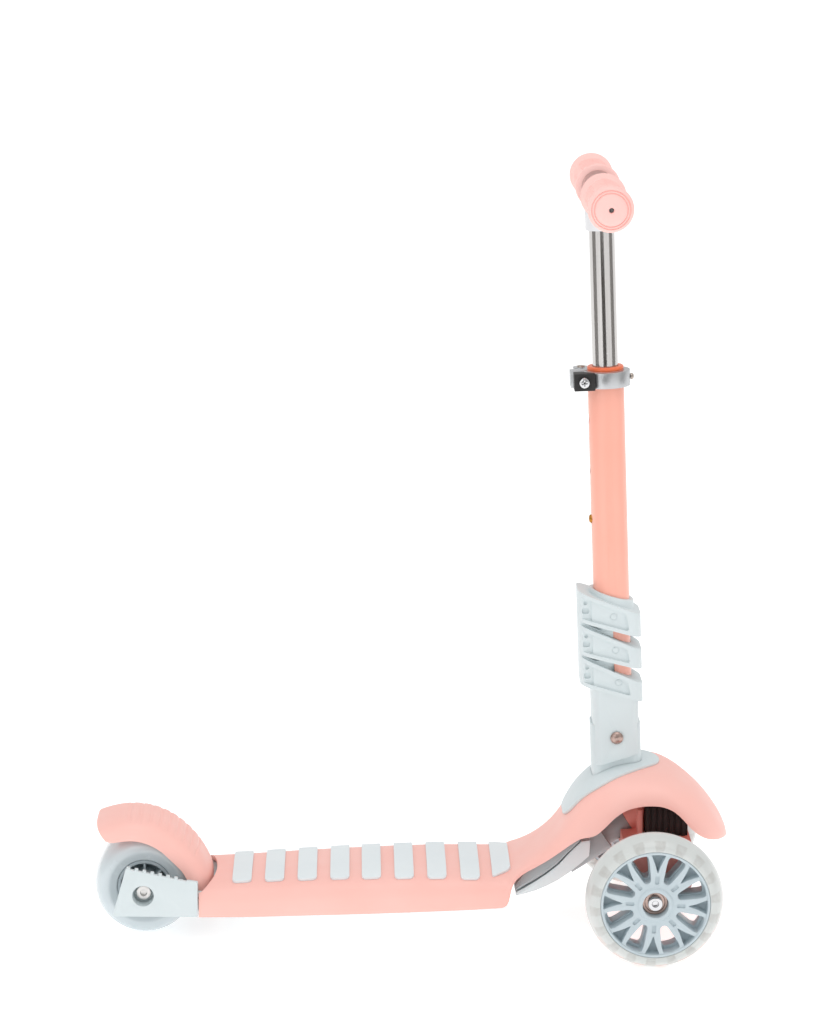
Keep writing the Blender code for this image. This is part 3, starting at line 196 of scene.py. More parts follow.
def settle(piece):
    """Apply a piece's modifiers and keep its place on its body."""
    graph = bpy.context.evaluated_depsgraph_get()
    mesh = bpy.data.meshes.new_from_object(piece.evaluated_get(graph))
    piece.modifiers.clear()
    piece.data = mesh
    return piece


def carve(piece, tool):
    """Cut the tool's shape out of the piece, then drop the tool."""
    step = piece.modifiers.new("Carve", "BOOLEAN")
    step.object = tool
    step.operation = "DIFFERENCE"
    step.solver = "EXACT"
    tool.hide_viewport = False
    bpy.context.view_layer.update()
    settle(piece)
    bpy.data.objects.remove(tool, do_unlink=True)
    return piece


def soften(piece, width, segments=2, angle=35.0):
    """Round the sharp edges and shade the rest smooth."""
    step = piece.modifiers.new("Soften", "BEVEL")
    step.width = width * MM
    step.segments = segments
    step.limit_method = "ANGLE"
    step.angle_limit = math.radians(angle)
    step.harden_normals = False
    settle(piece)
    for polygon in piece.data.polygons:
        polygon.use_smooth = True
    piece.data.set_sharp_from_angle(angle=math.radians(38.0))
    return piece


def prism(points, low, high, normal="Y"):
    lifts = {
        "X": lambda a, b, c: (c, a, b),
        "Y": lambda a, b, c: (a, c, b),
        "Z": lambda a, b, c: (a, b, c),
    }
    lift = lifts[normal]
    bm = bmesh.new()
    face = bm.faces.new([bm.verts.new(lift(a, b, low)) for a, b in points])
    grown = bmesh.ops.extrude_face_region(bm, geom=[face])
    moved = [item for item in grown["geom"] if isinstance(item, bmesh.types.BMVert)]
    bmesh.ops.translate(bm, verts=moved, vec=lift(0.0, 0.0, high - low))
    return bm


AXIS_TURNS = {
    "Z": Matrix.Identity(3),
    "Y": Matrix.Rotation(math.radians(-90.0), 3, "X"),
    "X": Matrix.Rotation(math.radians(90.0), 3, "Y"),
}


def turned(profile, axis="Z", segments=64):
    """Turn a closed (radius, height) outline about an axis."""
    bm = bmesh.new()
    corners = [bm.verts.new((radius, 0.0, height)) for radius, height in profile]
    edges = [bm.edges.new((corners[i - 1], corners[i])) for i in range(len(corners))]
    bmesh.ops.spin(
        bm, geom=corners + edges, angle=2.0 * math.pi, steps=segments, axis=(0, 0, 1), cent=(0, 0, 0)
    )
    bmesh.ops.remove_doubles(bm, verts=bm.verts, dist=0.001)
    bmesh.ops.delete(bm, geom=[edge for edge in bm.edges if not edge.link_faces], context="EDGES")
    bmesh.ops.delete(bm, geom=[face for face in bm.faces if face.calc_area() < 0.000001], context="FACES")
    bmesh.ops.rotate(bm, verts=bm.verts, cent=(0, 0, 0), matrix=AXIS_TURNS[axis])
    return bm


def rod(radius, low, high, axis="Z", segments=32):
    return turned([(0.0, low), (radius, low), (radius, high), (0.0, high)], axis, segments)


def shifted(bm, x=0.0, y=0.0, z=0.0):
    bmesh.ops.translate(bm, verts=bm.verts, vec=(x, y, z))
    return bm


def spun(bm, degrees, axis="Y"):
    turn = Matrix.Rotation(math.radians(degrees), 3, axis)
    bmesh.ops.rotate(bm, verts=bm.verts, cent=(0, 0, 0), matrix=turn)
    return bm


def box(x_low, x_high, y_low, y_high, z_low, z_high):
    return prism([(x_low, z_low), (x_high, z_low), (x_high, z_high), (x_low, z_high)], y_low, y_high)


def merged(meshes):
    """Several meshes as one."""
    whole = bmesh.new()
    for part in meshes:
        spare = bpy.data.meshes.new("spare")
        part.to_mesh(spare)
        part.free()
        whole.from_mesh(spare)
        bpy.data.meshes.remove(spare)
    return whole


def around(make, count, first=0.0):
    """Copies of a shape spread evenly about Y."""
    return merged([spun(make(), first + 360.0 * index / count) for index in range(count)])


def rounded(half_x, half_y, corner, steps=8, centre=0.0):
    points = []
    for side, (sx, sy) in enumerate(((1, 1), (-1, 1), (-1, -1), (1, -1))):
        for step in range(steps + 1):
            angle = math.radians(90.0 * side + 90.0 * step / steps)
            x = centre + sx * (half_x - corner) + corner * math.cos(angle)
            y = sy * (half_y - corner) + corner * math.sin(angle)
            points.append((x, y))
    return points


def turn_steps(count):
    """Angles spread evenly round a full turn."""
    return [2.0 * math.pi * step / count for step in range(count)]


def round_off(points, radius, steps=4):
    """Round every corner of a closed outline."""
    out = []
    count = len(points)
    for i in range(count):
        before, here, after = (Vector(points[(i + k) % count]) for k in (-1, 0, 1))
        reach = min(radius, (before - here).length * 0.45, (after - here).length * 0.45)
        start = here + (before - here).normalized() * reach
        end = here + (after - here).normalized() * reach
        for step in range(steps + 1):
            share = step / steps
            point = start * (1 - share) ** 2 + here * 2 * share * (1 - share) + end * share**2
            out.append((point.x, point.y))
    return out


def read(table, x):
    """Smooth reading of a table of (x, value, ...) rows."""
    if x <= table[0][0]:
        return table[0][1:]
    if x >= table[-1][0]:
        return table[-1][1:]
    i = next(k for k in range(len(table) - 1) if x <= table[k + 1][0])
    rows = [table[max(i - 1, 0)], table[i], table[i + 1], table[min(i + 2, len(table) - 1)]]
    span = rows[2][0] - rows[1][0]
    share = (x - rows[1][0]) / span
    out = []
    for k in range(1, len(table[0])):
        slopes = []
        for a, b in ((0, 2), (1, 3)):
            run = rows[b][0] - rows[a][0]
            slopes.append((rows[b][k] - rows[a][k]) / run * span)
        low, high = rows[1][k], rows[2][k]
        out.append(
            low * (1 + 2 * share) * (1 - share) ** 2
            + slopes[0] * share * (1 - share) ** 2
            + high * share**2 * (3 - 2 * share)
            + slopes[1] * share**2 * (share - 1)
        )
    return tuple(out)


def bow(half_width, rise, squareness, steps):
    points = []
    for step in range(steps + 1):
        angle = math.pi * (step / steps - 0.5)
        across = math.copysign(abs(math.sin(angle)) ** (2.0 / squareness), angle)
        points.append((half_width * across, rise * max(math.cos(angle), 0.0) ** (2.0 / squareness)))
    return points


def arch_ring(half_width, rise, wall, squareness, steps):
    outer = bow(half_width, rise, squareness, steps)
    inner = bow(half_width - wall, rise - min(wall, 0.6 * rise), squareness, steps)
    return outer + list(reversed(inner))


def loft(rings):
    bm = bmesh.new()
    rows = [[bm.verts.new(point) for point in ring] for ring in rings]
    for row, after in zip(rows, rows[1:]):
        for i in range(len(row)):
            bm.faces.new((row[i - 1], row[i], after[i], after[i - 1]))
    bm.faces.new(rows[0])
    bm.faces.new(list(reversed(rows[-1])))
    return bm


# ---- carried-over nodes ------------------------------------------------------------------------------------
BODY_OF = {node: body for body, nodes in frame["record"]["behaviour"]["bodies"].items() for node in nodes}


def stand_for(piece, node):
    """The piece rides where the node rides and hides it."""
    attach(piece, BODY_OF[node])
    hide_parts(node)
    return piece


def refined(node, skin, width=0.4, tools=(), angle=35.0, segments=2):
    """A finer copy of a node: carved by tools, its edges rounded."""
    bm = bmesh.new()
    bm.from_mesh(NODES[node].data)
    bmesh.ops.remove_doubles(bm, verts=bm.verts, dist=0.000004)
    flat = math.radians(0.6)
    bmesh.ops.dissolve_limit(bm, angle_limit=flat, verts=bm.verts, edges=bm.edges)
    bmesh.ops.recalc_face_normals(bm, faces=bm.faces)
    mesh = bpy.data.meshes.new(f"{node}_fine")
    bm.to_mesh(mesh)
    bm.free()
    piece = bpy.data.objects.new(f"{node}_fine", mesh)
    mesh.materials.append(skin)
    bpy.context.scene.collection.objects.link(piece)
    for tool in tools:
        carve(piece, tool)
    soften(piece, width, segments, angle)
    return stand_for(piece, node)


def kept(node, skin):
    """A node shown as it is, with a better material."""
    for slot in NODES[node].material_slots:
        slot.material = skin


# ---- deck shell --------------------------------------------------------------------------------------------
# distance from the front axle, crown height, edge height, half width, squareness
SHELL_STATIONS = (
    (-398.0, 53.5, 25.0, 55.0, 4.5),
    (-380.0, 54.0, 25.2, 55.8, 4.5),
    (-350.0, 55.2, 25.8, 57.0, 4.5),
    (-310.0, 57.5, 27.0, 58.0, 4.5),
    (-270.0, 59.5, 28.2, 59.0, 4.5),
    (-230.0, 61.0, 29.6, 60.0, 4.5),
    (-190.0, 62.0, 31.0, 60.0, 4.5),
    (-160.0, 62.0, 32.2, 60.0, 4.4),
    (-138.0, 62.0, 33.4, 60.0, 4.2),
    (-130.0, 62.0, 34.0, 60.0, 4.1),
    (-126.0, 62.0, 35.5, 59.6, 4.0),
    (-123.5, 62.2, 40.0, 58.8, 4.0),
    (-121.5, 62.6, 49.0, 57.4, 3.9),
    (-118.5, 63.6, 55.5, 54.5, 3.8),
    (-114.0, 66.0, 59.0, 50.0, 3.7),
    (-108.0, 70.0, 62.0, 46.0, 3.5),
    (-100.0, 75.5, 65.5, 43.2, 3.3),
    (-90.0, 83.5, 71.0, 42.2, 3.1),
    (-82.0, 91.5, 76.5, 42.6, 3.0),
    (-75.0, 101.0, 82.0, 43.8, 2.9),
    (-69.0, 111.0, 87.0, 45.4, 2.8),
    (-60.0, 125.5, 93.5, 48.2, 2.7),
    (-53.0, 134.0, 95.5, 50.4, 2.7),
    (-46.0, 140.5, 98.5, 52.6, 2.6),
    (-39.0, 145.0, 105.5, 54.6, 2.6),
    (-30.0, 149.0, 115.5, 56.8, 2.6),
    (-20.0, 151.6, 122.8, 58.6, 2.6),
    (-8.0, 153.0, 126.4, 59.7, 2.6),
    (2.0, 153.0, 127.0, 60.0, 2.6),
    (12.0, 151.2, 126.0, 60.2, 2.6),
    (22.0, 147.0, 121.5, 60.4, 2.6),
    (30.0, 142.2, 114.0, 60.4, 2.6),
    (37.0, 137.0, 106.0, 60.2, 2.6),
    (44.0, 131.0, 100.0, 59.4, 2.6),
    (51.0, 124.0, 96.2, 57.2, 2.6),
    (57.0, 117.0, 94.2, 53.2, 2.6),
    (62.0, 110.2, 93.0, 48.2, 2.6),
    (66.5, 103.6, 92.0, 40.6, 2.6),
    (70.0, 97.6, 90.4, 30.0, 2.6),
    (72.2, 92.6, 88.0, 18.0, 2.6),
    (73.0, 89.6, 86.2, 9.0, 2.6),
)
SHELL = 3.0
SHELL_STEPS = 44
PIN = (-186.75, 40.0)
DECK_REAR = -188.25
NOTCH_DEPTH = 14.5
NOTCH_HALF = 51.0
NOTCH_FLOOR = 37.5
COLUMN = (182.25, 0.0, 189.0)
COLUMN_LEAN = math.radians(-2.175)
POST_ROOM_X = 22.3
POST_ROOM_Y = 17.8
POST_CORNER = 8.0
POST_LOW = -82.0


def shell_height(x, y):
    crown, edge, half, squareness = read(SHELL_STATIONS, x)
    across = min(abs(y) / half, 0.9999)
    return edge + (crown - edge) * (1.0 - across**squareness) ** (1.0 / squareness)


def shell_normal(x, y):
    step = 0.5
    slope_x = (shell_height(x + step, y) - shell_height(x - step, y)) / (2.0 * step)
    slope_y = (shell_height(x, y + step) - shell_height(x, y - step)) / (2.0 * step)
    return Vector((-slope_x, -slope_y, 1.0)).normalized()


def shell_places():
    """Where the shell's cross-sections lie: close together where it bends."""
    places = []
    for before, after in zip(SHELL_STATIONS, SHELL_STATIONS[1:]):
        parts = max(2, int((after[0] - before[0]) / 3.0))
        places += [before[0] + (after[0] - before[0]) * i / parts for i in range(parts)]
    return places + [SHELL_STATIONS[-1][0]]


def post_room(high):
    """The hole for the column's post, from below the dome up to a height along the column."""
    outline = rounded(POST_ROOM_X, POST_ROOM_Y, POST_CORNER, 10)
    return cutter("post_tool", prism(outline, POST_LOW, high, "Z"), COLUMN, COLUMN_LEAN)


def make_shell():
    rings = []
    for x in shell_places():
        crown, edge, half, squareness = read(SHELL_STATIONS, x)
        ring = arch_ring(half, crown - edge, SHELL, squareness, SHELL_STEPS)
        rings.append([(AXLE_X + x, y, edge + z) for y, z in ring])
    shell = put("deck_shell_skin", loft(rings), PINK)
    notch = [(NOTCH_DEPTH * math.cos(a), NOTCH_HALF * math.sin(a)) for a in turn_steps(96)]
    carve(shell, cutter("notch_tool", prism(notch, NOTCH_FLOOR, 90.0, "Z"), (DECK_REAR, 0.0, 0.0)))
    carve(shell, post_room(0.0))
    soften(shell, 0.7, 3, 40.0)
    return stand_for(shell, "deck_shell")


make_shell()


PAD_LOW = 0.1
PAD_HIGH = 2.3
PAD_STEPS = 24


def shell_pad(name, outline, skin):
    """A pad lying on the shell, inside an (x, y) outline given as rows of y limits along x."""
    bm = bmesh.new()
    rows_top, rows_low = [], []
    for x, y_low, y_high in outline:
        top, bottom = [], []
        for step in range(PAD_STEPS + 1):
            y = y_low + (y_high - y_low) * step / PAD_STEPS
            base = Vector((AXLE_X + x, y, shell_height(x, y)))
            normal = shell_normal(x, y)
            top.append(bm.verts.new(base + normal * PAD_HIGH))
            bottom.append(bm.verts.new(base + normal * PAD_LOW))
        rows_top.append(top)
        rows_low.append(bottom)
    for a, b, c, d in zip(rows_top, rows_top[1:], rows_low, rows_low[1:]):
        for i in range(PAD_STEPS):
            bm.faces.new((a[i], b[i], b[i + 1], a[i + 1]))
            bm.faces.new((c[i + 1], d[i + 1], d[i], c[i]))
        bm.faces.new((a[0], c[0], d[0], b[0]))
        bm.faces.new((a[-1], b[-1], d[-1], c[-1]))
    for i in range(PAD_STEPS):
        bm.faces.new((rows_top[0][i + 1], rows_low[0][i + 1], rows_low[0][i], rows_top[0][i]))
        bm.faces.new((rows_top[-1][i], rows_low[-1][i], rows_low[-1][i + 1], rows_top[-1][i + 1]))
    return put(name, bm, skin)


STRIP_XS = (-360.0, -331.0, -302.0, -273.0, -245.0, -216.0, -187.0, -157.5, -129.5)
STRIP_HALVES = (43.0, 44.0, 45.5, 47.0, 48.5, 50.0, 51.0, 52.0, 50.0)
STRIP_HALF_WIDTH = 8.5
STRIP_CORNER = 4.0


def strip_outline(index):
    rows = []
    for step in range(25):
        share = math.sin(math.pi * (step / 24.0 - 0.5))
        across = STRIP_HALF_WIDTH * share
        inset = max(abs(across) - (STRIP_HALF_WIDTH - STRIP_CORNER), 0.0)
        trim = STRIP_CORNER - math.sqrt(max(STRIP_CORNER**2 - inset**2, 0.0))
        slant = (across + STRIP_HALF_WIDTH) * 0.75 if index == len(STRIP_XS) - 1 else 0.0
        half = STRIP_HALVES[index] - trim - slant
        rows.append((STRIP_XS[index] + across, -half, half))
    return rows


for index in range(len(STRIP_XS)):
    name = f"grip_strip_{index + 1}"
    pad = shell_pad(f"{name}_fine", strip_outline(index), STRIP_GREY)
    soften(pad, 0.7, 3, 50.0)
    stand_for(pad, name)

SADDLE_HALVES = (
    (-72.0, 13.0),
    (-70.5, 18.5),
    (-67.0, 24.0),
    (-60.0, 29.0),
    (-48.0, 34.0),
    (-34.0, 36.5),
    (-20.0, 35.0),
    (-8.0, 30.0),
    (2.0, 23.0),
    (8.0, 15.5),
    (11.0, 9.0),
    (12.0, 4.0),
)


def make_saddle():
    rows = []
    for step in range(65):
        x = -30.0 + 42.0 * math.sin(math.pi * (step / 64.0 - 0.5))
        half = read(SADDLE_HALVES, x)[0]
        rows.append((x, -half, half))
    saddle = shell_pad("saddle_cover_fine", rows, GREY)
    carve(saddle, post_room(20.0))
    soften(saddle, 0.8, 3, 50.0)
    return stand_for(saddle, "saddle_cover")


make_saddle()

# ---- brake fender ------------------------------------------------------------------------------------------
FENDER_STATIONS = (
    (-12.0, 58.4, 44.6),
    (-7.0, 59.8, 42.4),
    (0.0, 60.4, 41.0),
    (8.0, 60.0, 39.6),
    (17.0, 58.6, 38.6),
    (28.0, 57.3, 37.3),
    (40.0, 57.0, 36.0),
    (52.0, 57.3, 36.2),
    (64.0, 58.6, 37.8),
    (76.0, 60.2, 40.0),
    (87.0, 62.1, 42.4),
    (98.0, 64.1, 45.0),
    (108.0, 66.2, 47.2),
    (117.0, 68.4, 49.4),
    (124.0, 70.4, 52.4),
    (127.0, 71.0, 56.0),
)
FENDER_HALF = 38.5
FENDER_WALL = 4.0
GROOVES = [33.0 + 8.6 * index for index in range(9)]
GROOVE_HALF = 2.3
GROOVE_DEPTH = 1.0


def groove_depth(angle, up_share):
    """How deep the finger grooves across the crown are, by place along and round the fender."""
    depth = 0.0
    for centre in GROOVES:
        off = abs(angle - centre) / GROOVE_HALF
        if off < 1.0:
            depth = GROOVE_DEPTH * (0.5 + 0.5 * math.cos(math.pi * off))
    fade = min(max((up_share - 0.74) / 0.2, 0.0), 1.0)
    return depth * fade * fade * (3.0 - 2.0 * fade)


def make_fender():
    rings = []
    for step in range(279):
        angle = -12.0 + 139.0 * step / 278.0
        crown, skirt = read(FENDER_STATIONS, angle)
        rise = crown - skirt
        outer = bow(FENDER_HALF, rise, 3.0, 36)
        inner = bow(FENDER_HALF - FENDER_WALL, rise - min(FENDER_WALL, 0.6 * rise), 3.0, 36)
        outer = [(across, up - groove_depth(angle, up / rise)) for across, up in outer]
        around = math.radians(angle)
        rings.append(
            [
                (REAR_X + (skirt + up) * math.cos(around), across, REAR_Z + (skirt + up) * math.sin(around))
                for across, up in outer + list(reversed(inner))
            ]
        )
    fender = put("brake_fender_skin", loft(rings), PINK)
    carve(fender, cutter("pin_tool", rod(2.58, -48.0, 48.0, "Y", 48), (PIN[0], 0.0, PIN[1])))
    soften(fender, 1.2, 4, 50.0)
    return stand_for(fender, "brake_fender")


make_fender()

# ---- rear wheel and bracket --------------------------------------------------------------------------------
REAR_AT = (REAR_X, 0.0, REAR_Z)
REAR_TYRE_SIDE = [
    (24.5, 29.4),
    (26.0, 30.4),
    (30.0, 31.0),
    (30.8, 31.7),
    (34.0, 31.9),
    (37.4, 31.1),
    (40.2, 29.3),
    (42.4, 26.2),
    (43.9, 21.8),
    (44.9, 15.0),
    (45.4, 8.0),
    (45.5, 0.0),
]
rear_profile = [(r, y) for r, y in REAR_TYRE_SIDE] + [(r, -y) for r, y in reversed(REAR_TYRE_SIDE[:-1])]
rear_tyre = put("rear_tyre_fine", turned(rear_profile, "Y", 128), BLUE_TYRE, REAR_AT)
rear_tyre.data.set_sharp_from_angle(angle=math.radians(60.0))
stand_for(rear_tyre, "rear_tyre")
refined("rear_core", CORE_GREY, 0.3)
ARM_TOP = ((-461.0, 73.0), (-398.9, 59.0))
EDGE_DROPS = ((-480.0, 2.45), (-461.0, 2.45), (-415.0, 2.45), (-405.0, 1.0), (-396.0, 0.5))
TOOTH_PITCH = 6.95
TOOTH_WIDTH = 3.2
TOOTH_RISE = 2.2
ARM_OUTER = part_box("rear_bracket")[1][1] / MM


def arm_edge(x, drop):
    """Height of the arm's sloping top edge, less a drop."""
    (rear, rear_z), (front, front_z) = ARM_TOP
    return rear_z + (front_z - rear_z) * (x - rear) / (front - rear) - drop


def above_edge(deeper, half_low, half_high):
    """Everything above the slightly hollow edge, on both arms."""
    outline = [(AXLE_X + x, arm_edge(x, drop + deeper)) for x, drop in EDGE_DROPS]
    outline += [(AXLE_X + x, arm_edge(x, -12.0)) for x, drop in reversed(EDGE_DROPS)]
    return merged([prism(outline, half_low, half_high), prism(outline, -half_high, -half_low)])


def make_rack():
    """Seven small teeth standing on the outer edge of each arm."""
    teeth = []
    for tooth in range(7):
        start = ARM_TOP[0][0] + TOOTH_PITCH * tooth
        end = start + TOOTH_WIDTH
        low, high = arm_edge(start, 3.2), arm_edge(end, 2.45)
        outline = [(start, low), (end, low - 0.6), (end, high + TOOTH_RISE), (start, high + TOOTH_RISE + 0.5)]
        outline = round_off([(AXLE_X + x, z) for x, z in outline], 0.5, 3)
        for y_low, y_high in ((ARM_OUTER - 3.4, ARM_OUTER - 0.1), (0.1 - ARM_OUTER, 3.4 - ARM_OUTER)):
            teeth.append(prism(outline, y_low, y_high))
    rack = put("bracket_teeth", merged(teeth), GREY)
    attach(rack, "scooter")


make_rack()
edge_tools = [
    cutter("arm_edge_tool", above_edge(0.0, 30.0, 70.0)),
    cutter("arm_hollow_tool", above_edge(5.0, 30.0, ARM_OUTER - 3.6)),
]
refined("rear_bracket", GREY, 0.5, edge_tools, segments=3)
refined("rear_axle_bolt", SILVER, 0.25)
refined("rear_axle_nut", STEEL, 0.25)

# ---- front wheels ------------------------------------------------------------------------------------------
HUB_SIDE = [
    (5.2, 1.7),
    (11.3, 1.7),
    (11.3, 17.4),
    (11.8, 17.9),
    (14.0, 17.9),
    (14.8, 17.3),
    (15.6, 16.3),
    (44.9, 16.0),
    (45.3, 16.9),
    (45.8, 17.4),
    (46.9, 17.4),
    (47.5, 16.9),
]
PETAL = [
    (20.0, 0.0), (20.9, 2.7), (24.0, 3.9), (30.0, 5.4),
    (36.0, 7.0), (41.0, 7.9), (44.0, 7.3), (45.2, 0.0),
]
PETAL_THROUGH = [
    (21.0, 0.0), (22.0, 2.1), (25.0, 3.4), (30.0, 4.7),
    (36.0, 6.2), (40.6, 6.8), (42.2, 5.4), (42.8, 0.0),
]
POCKET = [
    (28.6, 0.0), (29.8, 0.7), (34.0, 1.9),
    (39.0, 3.9), (43.0, 5.7), (44.9, 6.3), (45.3, 0.0),
]
SLOT = [(18.5, -1.8), (25.8, -1.8), (25.8, 1.8), (18.5, 1.8)]
ARMS = 8
ARM_TURN = 3.0


def mirrored(half):
    """A whole (x, z) outline from its upper half."""
    lower = [(x, -z) for x, z in reversed(half) if z > 0.0]
    return half + lower


def both_faces(outline, depth_from):
    """Prisms of an outline cut in from both faces of the wheel."""
    return merged([prism(outline, depth_from, 30.0), prism(outline, -30.0, -depth_from)])


def make_hub(label, side):
    at = (AXLE_X, side * TRACK_HALF, AXLE_Z)
    profile = HUB_SIDE + [(r, -y) for r, y in reversed(HUB_SIDE)]
    hub = put(f"front_{label}_hub_fine", turned(profile, "Y", 144), HUB_GREY, at)
    petal = round_off(mirrored(PETAL), 2.4, 4)
    through = round_off(mirrored(PETAL_THROUGH), 1.8, 3)
    pocket = round_off(mirrored(POCKET), 1.1, 3)
    slot = round_off(SLOT, 1.2, 4)
    half_pitch = 180.0 / ARMS
    shapes = [
        ("petals", around(lambda: both_faces(petal, 3.0), ARMS, ARM_TURN + half_pitch)),
        ("through", around(lambda: prism(through, -30.0, 30.0), ARMS, ARM_TURN + half_pitch)),
        ("pockets", around(lambda: both_faces(pocket, 5.0), ARMS, ARM_TURN)),
        ("slots", around(lambda: both_faces(slot, 14.6), ARMS, ARM_TURN)),
    ]
    for word, shape in shapes:
        carve(hub, cutter(f"{label}_{word}_tool", shape, at))
    soften(hub, 0.55, 2, 35.0)
    return stand_for(hub, f"front_{label}_hub")


def milky_tyre():
    """Milky rim over a toothed light ring: darker blocks show through all round, with a painted pink
    reflection low on the tread.
    """
    made, nodes, links, shader = new_material("Milky_tyre")
    coords = nodes.new("ShaderNodeTexCoord").outputs["Object"]
    split = nodes.new("ShaderNodeSeparateXYZ")
    links.new(coords, split.inputs["Vector"])

    def maths(operation, first, second=None, third=None):
        node = nodes.new("ShaderNodeMath")
        node.operation = operation
        for socket, value in zip(node.inputs, (first, second, third)):
            if value is None:
                continue
            if isinstance(value, float):
                socket.default_value = value
            else:
                links.new(value, socket)
        return node.outputs["Value"]

    def step(value, low, high):
        node = nodes.new("ShaderNodeMapRange")
        node.interpolation_type = "SMOOTHSTEP"
        node.inputs["From Min"].default_value = low
        node.inputs["From Max"].default_value = high
        links.new(value, node.inputs["Value"])
        return node.outputs["Result"]

    x, z = split.outputs["X"], split.outputs["Z"]
    radius = maths("SQRT", maths("ADD", maths("MULTIPLY", x, x), maths("MULTIPLY", z, z)))
    turn = maths("MULTIPLY", maths("ARCTAN2", x, z), 18.0 / (2.0 * math.pi))
    place = maths("FRACT", maths("ADD", turn, 20.32))
    ragged = maths("MULTIPLY", maths("SUBTRACT", noise(nodes, links, 240.0, 3.0, coords), 0.5), 0.16)
    off = maths("ADD", maths("ABSOLUTE", maths("SUBTRACT", place, 0.5)), ragged)
    widen = maths("MULTIPLY", maths("SUBTRACT", radius, 0.0475), 6.0)
    block = maths("SUBTRACT", 1.0, step(maths("SUBTRACT", off, widen), 0.15, 0.25))
    past = maths("SUBTRACT", 1.0, step(radius, 0.0562, 0.0572))
    ring = maths("MULTIPLY", step(radius, 0.0480, 0.0486), past)
    cloudy = spread(nodes, links, noise(nodes, links, 160.0, 3.0, coords), 0.25, 0.75)
    share = maths("MULTIPLY", maths("MULTIPLY", block, ring), cloudy)
    base = two_tone(
        nodes, links, spread(nodes, links, noise(nodes, links, 45.0, 4.0, coords), 0.0, 1.0),
        linear(213, 216, 214), linear(204, 208, 206),
    )
    lines = maths("MULTIPLY", maths("SINE", maths("MULTIPLY", radius, 5200.0)), 0.5)
    mix = nodes.new("ShaderNodeMix")
    mix.data_type = "RGBA"
    links.new(share, mix.inputs["Factor"])
    links.new(base, mix.inputs["A"])
    mix.inputs["B"].default_value = linear(182, 181, 177)
    # Painted pink reflection: on the lower side of the tyre, between the blocks and near the tread, the
    # colour is tinted pink.
    painted_pink_reflection = nodes.new("ShaderNodeMix")
    painted_pink_reflection.data_type = "RGBA"
    low_side = step(maths("MULTIPLY", z, -1.0), 0.012, 0.05)
    between = maths("MULTIPLY", low_side, maths("SUBTRACT", 1.0, block))
    reflection_tips = maths("MULTIPLY", step(radius, 0.0545, 0.0560), between)
    links.new(maths("MULTIPLY", reflection_tips, 0.55), painted_pink_reflection.inputs["Factor"])
    links.new(mix.outputs["Result"], painted_pink_reflection.inputs["A"])
    painted_pink_reflection.inputs["B"].default_value = linear(222, 190, 180)
    links.new(painted_pink_reflection.outputs["Result"], shader.inputs["Base Color"])
    shader.inputs["Roughness"].default_value = 0.3
    shader.inputs["Coat Weight"].default_value = 0.4
    shader.inputs["Coat Roughness"].default_value = 0.1
    bump = nodes.new("ShaderNodeBump")
    bump.inputs["Distance"].default_value = 0.00006
    links.new(maths("ADD", lines, block), bump.inputs["Height"])
    links.new(bump.outputs["Normal"], shader.inputs["Normal"])
    return made


MILKY = milky_tyre()
TYRE_SIDE = [
    (47.8, 17.0),
    (48.6, 17.4),
    (49.4, 17.6),
    (50.2, 17.3),
    (51.2, 17.5),
    (53.0, 16.6),
    (54.8, 14.8),
    (56.6, 12.2),
    (58.2, 8.9),
    (59.3, 5.4),
    (59.9, 2.0),
    (60.0, 0.0),
]


def make_tyre(label, side):
    at = (AXLE_X, side * TRACK_HALF, AXLE_Z)
    profile = TYRE_SIDE + [(r, -y) for r, y in reversed(TYRE_SIDE[:-1])]
    tyre = put(f"front_{label}_tyre_fine", turned(profile, "Y", 160), MILKY, at)
    tyre.data.set_sharp_from_angle(angle=math.radians(60.0))
    return stand_for(tyre, f"front_{label}_tyre")


def make_axle_bolt(label, side):
    side_view = [
        (0.0, 84.0),
        (4.0, 84.0),
        (4.0, 124.3),
        (6.4, 124.3),
        (6.4, 128.4),
        (6.0, 129.1),
        (5.4, 129.3),
        (3.1, 129.3),
        (2.7, 128.8),
        (2.7, 126.0),
        (0.0, 126.0),
    ]
    bm = turned(side_view, "Y", 64)
    if side < 0:
        spun(bm, 180.0, "Z")
    bolt = put(f"front_{label}_axle_bolt_fine", bm, CHROME, (AXLE_X, 0.0, AXLE_Z))
    bolt.data.set_sharp_from_angle(angle=math.radians(40.0))
    return stand_for(bolt, f"front_{label}_axle_bolt")


def make_bearing(node, skin):
    low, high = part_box(node)
    centre = (low + high) / 2.0 / MM
    half = (high.y - low.y) / 2.0 / MM
    side_view = [
        (4.4, half),
        (5.2, half),
        (5.6, half - 0.5),
        (8.0, half - 0.7),
        (8.4, half - 0.7),
        (9.0, half),
        (10.6, half),
        (11.0, half - 0.4),
    ]
    profile = side_view + [(r, -y) for r, y in reversed(side_view)]
    made = put(f"{node}_fine", turned(profile, "Y", 64), skin, centre)
    made.data.set_sharp_from_angle(angle=math.radians(30.0))
    return stand_for(made, node)


for label, side in (("left", 1), ("right", -1)):
    make_hub(label, side)
    make_tyre(label, side)
    make_axle_bolt(label, side)
    kept(f"front_{label}_light_core", SHADED_GREY)
    for place in ("outer", "inner"):
        make_bearing(f"front_{label}_bearing_{place}", COPPERY)
for place in ("left", "right"):
    make_bearing(f"rear_bearing_{place}", STEEL)

# ---- steering column ---------------------------------------------------------------------------------------
TUBE_RADIUS = 15.9
TUBE_INNER = 14.2


def on_column(name, bm, skin):
    return put(name, bm, skin, COLUMN, COLUMN_LEAN)


def column_tool(name, bm):
    return cutter(name, bm, COLUMN, COLUMN_LEAN)


